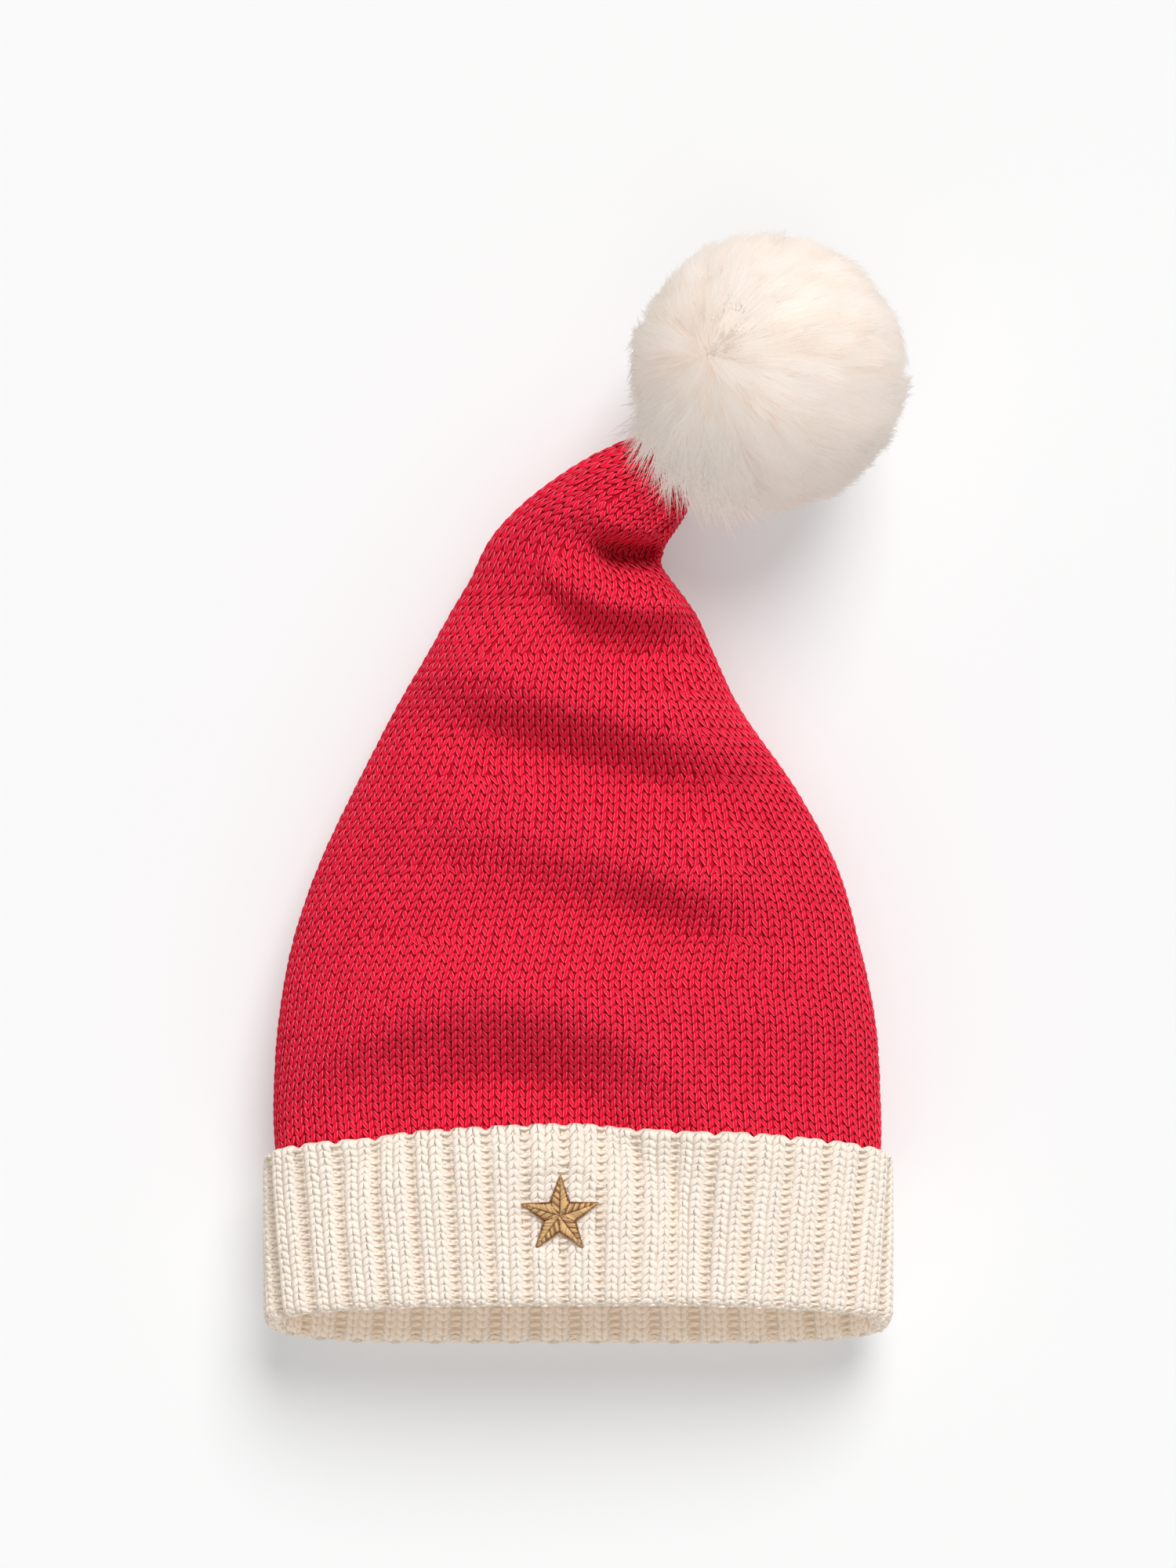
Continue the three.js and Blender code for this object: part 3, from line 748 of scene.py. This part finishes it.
# A new material with a Principled shader, and the tree and shader to build on.
def startMaterial(name):
    material = bpy.data.materials.new(name)
    material.use_nodes = True
    tree = material.node_tree
    return material, tree, tree.nodes["Principled BSDF"]


# Spun yarn: plies that twist round each other, with loose fibres that catch the light. The eye gets
# soft diagonal ridges on every stitch leg, darker between the stitches than on them. Its colour
# holds painted light: a painted highlight on each ply's ridge, painted shade where the yarn lies
# deep, and a painted glow in the deep colour.
def yarnMaterial(name, look):
    material, tree, shader = startMaterial(name)
    place = addNode(tree, "ShaderNodeTexCoord").outputs["Object"]
    thread = addNode(tree, "ShaderNodeUVMap", uv_map="thread")
    uv = addNode(tree, "ShaderNodeSeparateXYZ", {0: thread})
    tone = addNode(tree, "ShaderNodeAttribute", attribute_name="tone").outputs["Fac"]
    depth = addNode(tree, "ShaderNodeAttribute", attribute_name="depth").outputs["Fac"]

    # The ridge of a ply is a sine of the places along and around the thread.
    along = addNode(tree, "ShaderNodeMath", {
        0: uv.outputs["X"], 1: 2 * math.pi * look["twist"]}, operation="MULTIPLY")
    angle = addNode(tree, "ShaderNodeMath", {
        0: uv.outputs["Y"], 1: 2 * math.pi * look["plies"], 2: along}, operation="MULTIPLY_ADD")
    ridge = addNode(tree, "ShaderNodeMath", {0: angle}, operation="SINE")
    fibre = addNode(tree, "ShaderNodeTexNoise", {
        "Vector": place, "Scale": 1 / (look["fibreSize"] * mm), "Detail": 3, "Roughness": 0.6})
    blotch = addNode(tree, "ShaderNodeTexNoise", {
        "Vector": place, "Scale": 1 / (look["blotchSize"] * mm), "Detail": 2})

    # Painted shade: the deeper a point lies, by its depth value, the more it takes the deep colour.
    sunk = addNode(tree, "ShaderNodeMapRange", {
        "Value": depth, "From Min": look["deepAt"], "From Max": look["topAt"],
    }, interpolation_type="SMOOTHSTEP")
    base = addNode(tree, "ShaderNodeMix", {
        0: sunk, 6: colour(look["deep"]), 7: colour(look["face"])}, data_type="RGBA")
    # Painted highlight: the ridge of each ply is mixed towards the light colour.
    lit = addNode(tree, "ShaderNodeMapRange", {
        "Value": ridge, "From Min": 0.2, "From Max": 1.0, "To Min": 0, "To Max": look["plyLight"]})
    plied = addNode(tree, "ShaderNodeMix", {
        0: lit, 6: base.outputs[2], 7: colour(look["light"])}, data_type="RGBA")
    blotched = addNode(tree, "ShaderNodeMath", {
        0: blotch.outputs["Fac"], 1: 0.12, 2: 0.94}, operation="MULTIPLY_ADD")
    bright = addNode(tree, "ShaderNodeMath", {
        0: tone, 1: look["toneSpread"], 2: blotched}, operation="MULTIPLY_ADD")
    shaded = addNode(tree, "ShaderNodeHueSaturation", {"Color": plied.outputs[2], "Value": bright})

    plyBump = addNode(tree, "ShaderNodeBump", {
        "Height": ridge, "Distance": look["plyDepth"] * mm, "Strength": 0.8})
    fuzzBump = addNode(tree, "ShaderNodeBump", {
        "Height": fibre.outputs["Fac"], "Distance": look["fuzzDepth"] * mm, "Strength": 0.7,
        "Normal": plyBump})
    setInputs(tree, shader, {
        "Base Color": shaded, "Normal": fuzzBump,
        "Roughness": look["roughness"], "IOR": 1.5, "Specular IOR Level": look["specular"],
        "Sheen Weight": look["sheen"], "Sheen Roughness": 0.45,
        "Sheen Tint": colour(look["sheenTint"]),
        "Emission Color": colour(look["deep"]),
        "Emission Strength": look.get("glow", 0),  # painted glow in the deep colour, standing in for light that comes through the wool
    })
    return material


wool = {
    "plies": 3, "twist": 1.4, "fibreSize": 0.35, "fuzzDepth": 0.1, "blotchSize": 9, "specular": 0.1,
}
redYarn = yarnMaterial("red_wool_yarn", {
    **wool, "face": "#ee0e36", "deep": "#9c031c", "light": "#ff7489",
    "deepAt": -0.85, "topAt": 0.05, "plyLight": 0.52, "plyDepth": 0.2, "toneSpread": 0.07,
    "roughness": 0.82, "specular": 0.12, "sheen": 0.03, "sheenTint": "#ff8090",
})
# Painted shade: the cloth under the red stitches is a darker red than the yarn.
redClothShade = yarnMaterial("red_wool_cloth_painted_shade", {
    **wool, "face": "#b60625", "deep": "#a0041e", "light": "#c0102c",
    "deepAt": -0.95, "topAt": -0.15, "plyLight": 0.0, "plyDepth": 0.0, "toneSpread": 0.0,
    "fibreSize": 0.8, "fuzzDepth": 0.25,
    "roughness": 0.9, "sheen": 0.03, "sheenTint": "#ff9aa6",
})
# Cream yarn: its glow is a painted glow that lightens the shade between its stitches.
creamLook = {
    **wool, "face": "#e4dad0", "deep": "#dac1a2", "light": "#ece4dc",
    "deepAt": -1.65, "topAt": -0.7, "plyLight": 0.3, "plyDepth": 0.08, "toneSpread": 0.02,
    "roughness": 0.92, "sheen": 0.15, "sheenTint": "#fff6ec", "glow": 0.17,
}
creamYarn = yarnMaterial("cream_wool_yarn", creamLook)
# The same yarn inside the cuff, as a lit copy with a stronger painted glow that brightens the
# shaded inside of the mouth.
creamInsidePaintedGlow = yarnMaterial("cream_wool_inside_painted_glow", {**creamLook, "glow": 0.34})

redPieces = [makeCrownCloth(redClothShade)]
for number in range(4):
    # The back lies on the table, so four sides are enough there.
    redPieces.append(makeCrownPanel(number, redYarn, sides=4 if number == 2 else 5))
for piece in redPieces:
    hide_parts("red_knit_crown")

# Rows of the cuff, in courses: outside from its top edge to the fold, inside as far as the eye
# gets into the mouth. Knit wales outside are purl inside.
course = cuffForm["courseHeight"]
outerRows = np.arange(-0.2, (cuffFoldAt + 3) / course)
innerRows = np.arange((cuffFoldAt - 2) / course, (cuffFoldAt + 25) / course)
halfWale = ribStitch["knitWidth"] / 2
outerWales, innerWales = np.array([0.5 - halfWale, 0.5 + halfWale]), np.array([-halfWale, halfWale])
creamPieces = [
    makeCuffCloth(creamYarn),
    makeRibSide("rib_outside", creamYarn, outerRows, outerWales, np.array([0.0]), 70),
    makeRibSide("rib_inside", creamInsidePaintedGlow, innerRows, innerWales, np.array([0.5]), 80),
]
for piece in creamPieces:
    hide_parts("rib_knit_cuff")


# Fur: strands rooted in a ball, combed away from a whorl, and gathered into tufts.
furForm = {
    "diameter": 86,
    "sink": 0.06,          # share of its radius that is pressed flat on the table
    "reach": 0.59,         # its middle lies this share of its radius past the hat's tip
    "heading": 50,         # degrees from +X to its middle
    "shift": (1.2, 2.2),   # how far its weight draws it on from there
    "whorl": (-0.48, 0.05, 0.87),
    "strands": 54000,
    "tufts": 1300,
    "root": 0.8,           # where strands start, as a share of the radius
    "length": 0.965,       # where they end
    "comb": 30,            # degrees that a strand runs away from the whorl
    "stray": 0.16,         # how far tufts point away from the combed way
    "gather": 0.5,         # how far the end of a strand is drawn to its tuft
    "width": 0.4,          # of a strand, broader than a hair so that it shows
    "under": 0.87,         # radius of the ball under the fur
    "bare": 15,            # degrees round the hat's tip without strands
    "wisps": (37, 20),     # degrees from the tip where long wisps start, and where all may be
    "wispLength": 0.3,     # how much longer a wisp is
    "overTip": 1.7,        # how high they lie over the knit
}
furRadius = furForm["diameter"] / 2
tipRow = sectionsAt(np.array([hatLength]))
tipPoint = np.array([tipRow["x"][0, 0], tipRow["y"][0, 0]])
furWay = math.radians(furForm["heading"])
furFlat = tipPoint + furRadius * furForm["reach"] * np.array([math.cos(furWay), math.sin(furWay)])
furCentre = np.append(furFlat + furForm["shift"], furRadius * (1 - furForm["sink"]))
whorl = unit(np.array(furForm["whorl"]))


# Even directions on a sphere: a spiral that climbs by equal heights and turns by the golden angle.
def spiralDirections(count):
    k = np.arange(count) + 0.5
    height = 1 - 2 * k / count
    around = k * math.pi * (3 - math.sqrt(5))
    flat = np.sqrt(1 - height**2)
    return np.stack([flat * np.cos(around), flat * np.sin(around), height], axis=1)


# Directions turned away from the whorl by an angle, along the great circle through both.
def combed(out, degrees):
    away = unit(out * (out @ whorl)[:, None] - whorl)
    angle = np.radians(degrees)[:, None]
    return out * np.cos(angle) + away * np.sin(angle)


# Points pushed out of the hat's tip: where a point lies under the skin at its nearest place, it
# moves along the normal there until it is clear.
def clearOfTip(points, gap):
    rows = hatSkin["distance"] > hatLength - 60
    skin = hatSkin["points"][rows][::2, ::8].reshape(-1, 3)
    normal = hatSkin["normal"][rows][::2, ::8].reshape(-1, 3)
    near = np.flatnonzero(np.linalg.norm(points - skin.mean(0), axis=1) < 45)
    for part in np.array_split(near, max(1, len(near) // 4000)):
        away = np.linalg.norm(points[part][:, None] - skin[None], axis=2)
        best = away.argmin(1)
        over = np.einsum("ij,ij->i", points[part] - skin[best], normal[best])
        push = np.where(away.min(1) < 14, np.clip(gap - over, 0, 9), 0)
        points[part] += normal[best] * push[:, None]
    return points


# The strands: each runs from its root in a direction that turns away from the whorl with time to
# the power 1.25, while its distance from the middle grows as a sine. Its end is drawn to its
# tuft's end with the square of time. Over the hat's tip some are longer.
def makeFur(material, pieces=2):
    count, tufts = furForm["strands"], furForm["tufts"]
    wander = scatter((count, 6), 90)
    out = unit(spiralDirections(count) + 0.04 * wander[:, :3])
    tuftOut = unit(spiralDirections(tufts) + 0.05 * scatter((tufts, 3), 91))
    tuft = np.concatenate([(part @ tuftOut.T).argmax(1) for part in np.array_split(out, 16)])
    tuftWander = scatter((tufts, 3), 92)

    lumps = np.sin(out @ np.array([7.0, 3, -4]) + 1) * np.sin(out @ np.array([-4.0, 8, 5]) + 2)
    far = furForm["length"] + 0.03 * tuftWander[tuft, 0] + 0.03 * wander[:, 3] + 0.022 * lumps
    tipWay = unit(np.append(tipPoint, furCentre[2] * 0.6) - furCentre)
    overWay = unit(tipWay * [1, 1, 0] + [0, 0, 0.3])
    near = smoothStep(*np.cos(np.radians(furForm["wisps"])), out @ overWay)
    wisp = furForm["wispLength"] * smoothStep(0.1, 0.4, out[:, 2]) * wander[:, 3]
    far = far + near * np.where(wander[:, 3] > 0.1, wisp, -0.07)

    polar = np.degrees(np.arccos(np.clip(out @ whorl, -1, 1)))
    turn = furForm["comb"] * (0.8 + 0.2 * smoothStep(4, 38, polar))
    turn = turn * (1 + 0.3 * tuftWander[tuft, 1] + 0.2 * wander[:, 4])
    stray = furForm["stray"] * (scatter((tufts, 3), 95)[tuft] + 0.4 * wander[:, :3])
    line = []
    for step in (0.0, 0.5, 1.0):
        own = combed(out, turn * (step**1.25 - 0.45))
        shared = combed(tuftOut[tuft], turn * (step**1.25 - 0.45))
        drawn = furForm["gather"] * step**2
        way = unit(own * (1 - drawn) + shared * drawn + stray * step**1.5)
        lift = furForm["root"] + (far - furForm["root"]) * math.sin(step * math.pi / 2)
        bend = 0.012 * math.sin(step * 5) * wander[:, 5]
        line.append(furCentre + way * ((lift + bend) * furRadius)[:, None])
    line = np.stack(line, 1)
    line = clearOfTip(line.reshape(-1, 3), furForm["overTip"]).reshape(line.shape)
    bare = out @ tipWay >= math.cos(math.radians(furForm["bare"]))
    kept = (line[:, 0, 2] > 1.0) & (line[:, 1, 2] > 0.6) & ~bare
    line, tuft = line[kept], tuft[kept]
    line[..., 2] = np.maximum(line[..., 2], 0.25)

    # A flat triangle, its broad side away from the ball's middle and a little to the light.
    rings, sides = 1, 3
    facing = unit(line[:, 1:-1] - furCentre) + np.array([0, 0.35, 0.35])
    girth = furForm["width"] / 2 * (1 + 0.3 * scatter(len(line), 93))[:, None, None, None]
    points = sweepTubes(line, facing, girth, np.array([1.0, -1, 0]), np.array([0, 0, -0.5]))
    # The reach from the ball's middle is the depth value that sets the painted shade near the
    # roots.
    reach = np.linalg.norm(points - furCentre, axis=2) / furRadius
    made = []
    for number, part in enumerate(np.array_split(np.arange(len(line)), pieces)):
        name = f"pompom_fur_{number + 1}"
        faces, uv = repeatFaces(len(part), rings, sides)
        tone = 0.6 * tuftWander[tuft[part], 2] + 0.4 * scatter(len(part), 94 + number)
        values = {"tone": np.repeat(tone, rings * sides + 2), "depth": reach[part].ravel()}
        piece = makeMesh(name, points[part].reshape(-1, 3), faces, material, uv, values)
        piece.data.polygons.foreach_set("use_smooth", np.zeros(len(faces), dtype=bool))
        print(f"{name}: {len(faces)} triangles")
        made.append(piece)
    return made


# The stuffed ball under the fur: a sphere with soft lumps, flat on the table.
def makeUnderBall(material):
    rings, columns = 40, 80
    polar = (np.arange(rings) + 0.5)[:, None] * math.pi / rings
    around = np.arange(columns)[None, :] * 2 * math.pi / columns
    flat = np.sin(polar)
    out = np.stack(np.broadcast_arrays(
        flat * np.cos(around), flat * np.sin(around), np.cos(polar)), axis=-1)
    lump = 0.012 * np.sin(polar * 17 + 2) * np.sin(around * 13 + 3 * polar)
    points = furCentre + out * ((furForm["under"] + lump) * furRadius)[..., None]
    points[..., 2] = np.maximum(points[..., 2], 0.15)
    ends = furCentre + np.array([[0, 0, 1.0], [0, 0, -1.0]]) * furForm["under"] * furRadius
    ends[:, 2] = np.maximum(ends[:, 2], 0.15)
    faces = loftFaces(rings, columns, False)[:, ::-1]
    points = np.concatenate([points.reshape(-1, 3), ends])
    zero = np.zeros(len(points))
    # The pad takes the painted shade of the roots.
    values = {"tone": zero, "depth": zero + furForm["under"]}
    piece = makeMesh("pompom_pad", points, faces, material, None, values)
    return piece


# Faux fur: fine smooth fibres, nearly white, that pass light from strand to strand. The eye gets a
# soft glow, which is a painted glow, with painted shade, warm and darker, towards the roots between
# the tufts and white ends.
def furMaterial(name, look):
    material, tree, shader = startMaterial(name)
    tone = addNode(tree, "ShaderNodeAttribute", attribute_name="tone").outputs["Fac"]
    depth = addNode(tree, "ShaderNodeAttribute", attribute_name="depth").outputs["Fac"]
    # Painted shade: strands are darker and warmer towards their roots, deep in the fur.
    out = addNode(tree, "ShaderNodeMapRange", {
        "Value": depth, "From Min": look["rootAt"], "From Max": look["endAt"],
    }, interpolation_type="SMOOTHSTEP")
    base = addNode(tree, "ShaderNodeMix", {
        0: out, 6: colour(look["root"]), 7: colour(look["end"])}, data_type="RGBA")
    bright = addNode(tree, "ShaderNodeMath", {
        0: tone, 1: look["toneSpread"], 2: 1.0}, operation="MULTIPLY_ADD")
    shaded = addNode(tree, "ShaderNodeHueSaturation", {"Color": base.outputs[2], "Value": bright})

    # Strands are lit more by the ball's roundness than by their own faces.
    place = addNode(tree, "ShaderNodeTexCoord").outputs["Object"]
    middle = tuple((furCentre * mm + frameShift).tolist())
    outward = addNode(tree, "ShaderNodeVectorMath", {0: place, 1: middle}, operation="SUBTRACT")
    ball = addNode(tree, "ShaderNodeVectorMath", {0: outward}, operation="NORMALIZE")
    own = addNode(tree, "ShaderNodeNewGeometry").outputs["Normal"]
    soft = addNode(tree, "ShaderNodeMix", {
        0: look["softness"], 4: own, 5: ball}, data_type="VECTOR")
    facing = addNode(tree, "ShaderNodeVectorMath", {0: soft.outputs[1]}, operation="NORMALIZE")
    setInputs(tree, shader, {
        "Base Color": shaded, "Normal": facing,
        "Roughness": look["roughness"], "IOR": 1.5, "Specular IOR Level": 0.2,
        "Sheen Weight": look["sheen"], "Sheen Roughness": 0.4, "Sheen Tint": colour("#fffaf5"),
        "Emission Color": colour(look["glowColour"]),
        "Emission Strength": look["glow"],  # painted glow, standing in for light handed on inside the fur
    })
    through = addNode(tree, "ShaderNodeBsdfTranslucent", {"Color": shaded})
    both = addNode(tree, "ShaderNodeMixShader", {0: look["through"], 1: shader, 2: through})
    setInputs(tree, tree.nodes["Material Output"], {"Surface": both})
    return material


creamFur = furMaterial("cream_faux_fur", {
    "root": "#bfac9b", "end": "#c5beb8", "rootAt": 0.86, "endAt": 0.99,
    "toneSpread": 0.09, "roughness": 0.8, "sheen": 0.1, "softness": 0.7,
    "glowColour": "#f5ebe2", "glow": 0.42, "through": 0.3,
})
furPieces = [makeUnderBall(creamFur)] + makeFur(creamFur)
for piece in furPieces[1:]:
    piece.visible_shadow = False  # thin fur lets the light through to the fur under it
for piece in furPieces:
    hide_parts("fur_pompom")


# Points of the star's ground: millimetres across and up the cuff from its middle, and height.
def onStar(across, up, height):
    ground = cuffForm["slot"] + cuffForm["wall"] - 0.75
    share = np.mod(starShare + across / starGirth, 1)
    return onSkin(starDistance + up, share, ground + height)


# Corners of the star by number, round from its top tip: even ones are tips, odd ones notches.
def starCorner(number):
    number = np.asarray(number)
    radius = starForm["size"] / 2 * np.where(number % 2, starForm["notch"], 1)
    angle = number * math.pi / 5
    return radius[..., None] * np.stack([np.sin(angle), np.cos(angle)], axis=-1)


# Threads as tubes: each is a line of points in the star's plane, thin at both ends.
def makeThreads(name, lines, material, sides=4):
    count, rings = len(lines), lines.shape[1] - 2
    line = onStar(lines[..., 0], lines[..., 1], lines[..., 2])
    raised = onStar(lines[:, 1:-1, 0], lines[:, 1:-1, 1], lines[:, 1:-1, 2] + 1)
    angle = np.arange(sides) * 2 * math.pi / sides
    points = sweepTubes(line, unit(raised - line[:, 1:-1]), starForm["threadWidth"] / 2,
                        np.cos(angle), np.sin(angle))
    faces, uv = repeatFaces(count, rings, sides)
    tone = np.repeat(scatter(count, 120), rings * sides + 2)
    values = {"tone": tone, "depth": tone * 0}
    piece = makeMesh(name, points.reshape(-1, 3), faces, material, uv, values)
    print(f"{name}: {len(faces)} triangles")
    return piece


# Satin stitches of one of the ten half arms: parallel threads from the arm's middle line to its
# edge, each bowed up as a sine, their ends a little ragged.
def starLines(half):
    arm, mirror = half // 2, 1 if half % 2 == 0 else -1
    tip, notch = starCorner(2 * arm), starCorner(2 * arm + mirror)
    widest = 0.12
    way = notch - tip * widest
    share = np.arange(0.03, 0.985, starForm["threadWidth"] * 0.82 / (starForm["size"] / 2))
    length = np.minimum(share / widest, (1 - share) / (1 - widest))
    t = np.linspace(0, 1, 6)
    ragged = 1 + 0.07 * scatter(len(share), 130 + half)[:, None]
    run = length[:, None] * (0.98 * t - 0.03) * ragged
    flat = tip * share[:, None, None] + way * run[..., None]
    rise = 0.62 * np.sin(math.pi * (0.1 + 0.8 * t)) * np.clip(length * 2, 0.4, 1)[:, None]
    rise = rise + 0.25 + 0.13 * scatter(len(share), 140 + half)[:, None]
    return np.concatenate([flat, rise[..., None]], axis=-1)


# Back stitches end to end along the star's edge.
def edgeLines(stitches=3):
    corner = starCorner(np.arange(10))
    after = np.roll(corner, -1, axis=0)
    start = np.arange(stitches)[None, :, None]
    share = (start + np.linspace(-0.08, 1.08, 6)) / stitches
    flat = corner[:, None, None] * (1 - share)[..., None] + after[:, None, None] * share[..., None]
    rise = 0.2 + 0.4 * np.sin(math.pi * np.linspace(0.05, 0.95, 6))
    line = np.concatenate([flat, np.broadcast_to(rise[:, None], flat.shape[:-1] + (1,))], axis=-1)
    return line.reshape(-1, 6, 3)


# The star's ground: a low dome of padding under the threads, its rim the ten corners.
def makeStarPad(material, perSide=4):
    k = np.arange(10 * perSide)
    i, part = k // perSide, (k % perSide)[:, None] / perSide
    rim = starCorner(i) * (1 - part) + starCorner(i + 1) * part
    outs = [0.15, 0.5, 0.85, 0.97]
    shape = [(out, 0.55 - 0.35 * out) for out in outs] + [(out, -0.3) for out in outs[::-1]]
    grid = np.stack([
        onStar(rim[:, 0] * out, rim[:, 1] * out, np.full(len(rim), rise)) for out, rise in shape])
    points = np.concatenate([grid.reshape(-1, 3), [grid[0].mean(0), grid[-1].mean(0)]])
    faces = loftFaces(len(grid), len(rim), False)
    zero = np.zeros(len(points))
    return makeMesh("star_pad", points, faces, material, None, {"tone": zero, "depth": zero})


threadLook = {
    "face": "#dcb078", "deep": "#b0834e", "light": "#f2d5a6", "deepAt": -1, "topAt": -0.1,
    "plies": 2, "twist": 5.0, "plyLight": 0.4, "plyDepth": 0.05, "toneSpread": 0.34,
    "fibreSize": 0.2, "fuzzDepth": 0.02, "blotchSize": 9,
    "roughness": 0.6, "specular": 0.3, "sheen": 0.15, "sheenTint": "#fff0d0",
}
goldThread = yarnMaterial("gold_rayon_thread", threadLook)
brownThread = yarnMaterial("brown_rayon_thread", {
    **threadLook, "face": "#8f6440", "deep": "#5d3d24", "light": "#b58a60",
    "plyLight": 0.45, "plyDepth": 0.04, "toneSpread": 0.2,
})
# Gold arms, one half of each with brown streaks in it, as a stitcher shades them: painted shade in
# brown thread that makes each arm read as two facets, one in shade.
litArms = np.concatenate([starLines(half) for half in range(0, 10, 2)])
shadedArms = np.concatenate([starLines(half) for half in range(1, 10, 2)])
shadeStreak = np.arange(len(shadedArms)) % 5 < 2
goldLines = np.concatenate([litArms, shadedArms[~shadeStreak]])
brownLines = np.concatenate([shadedArms[shadeStreak], edgeLines()])
starPieces = [
    makeStarPad(brownThread),
    makeThreads("star_gold_threads", goldLines, goldThread),
    makeThreads("star_brown_threads", brownLines, brownThread),
]
for piece in starPieces:
    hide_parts("embroidered_star")

# Floor, light and camera. The lights are wide suns, as a window and white walls: degrees from +Y
# to +X that a light comes from, degrees over the table, degrees across, and power.
studio = {
    "lights": {
        "window_light": (17, 46, 34, 3.0),
        "front_fill": (180, 38, 90, 0.85),
        "overhead_light": (0, 85, 70, 0.3),
    },
    "skyStrength": 0.2,
    "floorGlow": 0.26,         # a sweep lit from behind
    "floorReach": 3000,
    "cameraAt": (3.0, 113.76),
    "cameraHeight": 1550,
    "focusHeight": 22,         # height over the floor where the picture's scale is taken
    "viewHeight": 480,         # what the picture shows there, from its top to its foot
    "sensor": 36,
}


def makeFloor():
    material, tree, shader = startMaterial("white_paper_sweep")
    setInputs(tree, shader, {
        "Base Color": colour("#cbcbcb"), "Roughness": 0.9,
        "Emission Color": colour("#ffffff"), "Emission Strength": studio["floorGlow"],
    })
    far = studio["floorReach"] * mm
    mesh = bpy.data.meshes.new("floor")
    corners = [(-far, -far, 0), (far, -far, 0), (far, far, 0), (-far, far, 0)]
    mesh.from_pydata(corners, [], [(0, 1, 2, 3)])
    mesh.materials.append(material)
    floor = bpy.data.objects.new("floor", mesh)
    bpy.context.scene.collection.objects.link(floor)


def addSoftLight(name, heading, height, spread, power):
    data = bpy.data.lights.new(name, "SUN")
    data.energy = power
    data.angle = math.radians(spread)
    light = bpy.data.objects.new(name, data)
    light.rotation_euler = (math.radians(90 - height), 0, math.radians(180 - heading))
    bpy.context.scene.collection.objects.link(light)


makeFloor()
for name, values in studio["lights"].items():
    addSoftLight(name, *values)
world = bpy.data.worlds.new("pale_room")
world.use_nodes = True
setInputs(world.node_tree, world.node_tree.nodes["Background"], {
    "Color": colour("#ffffff"), "Strength": studio["skyStrength"]})
bpy.context.scene.world = world
bpy.context.scene.view_settings.view_transform = "Standard"
print("studio: floor, lights and sky")

cameraData = bpy.data.cameras.new("photo_camera")
cameraData.sensor_fit = "VERTICAL"
cameraData.sensor_height = studio["sensor"]
cameraReach = studio["cameraHeight"] - studio["focusHeight"]
cameraData.lens = studio["sensor"] * cameraReach / studio["viewHeight"]
cameraData.clip_end = 20
camera = bpy.data.objects.new("photo_camera", cameraData)
cameraPlace = np.array([*studio["cameraAt"], studio["cameraHeight"]])
camera.location = cameraPlace * mm + frameShift
bpy.context.scene.collection.objects.link(camera)
bpy.context.scene.camera = camera
print("studio: camera")
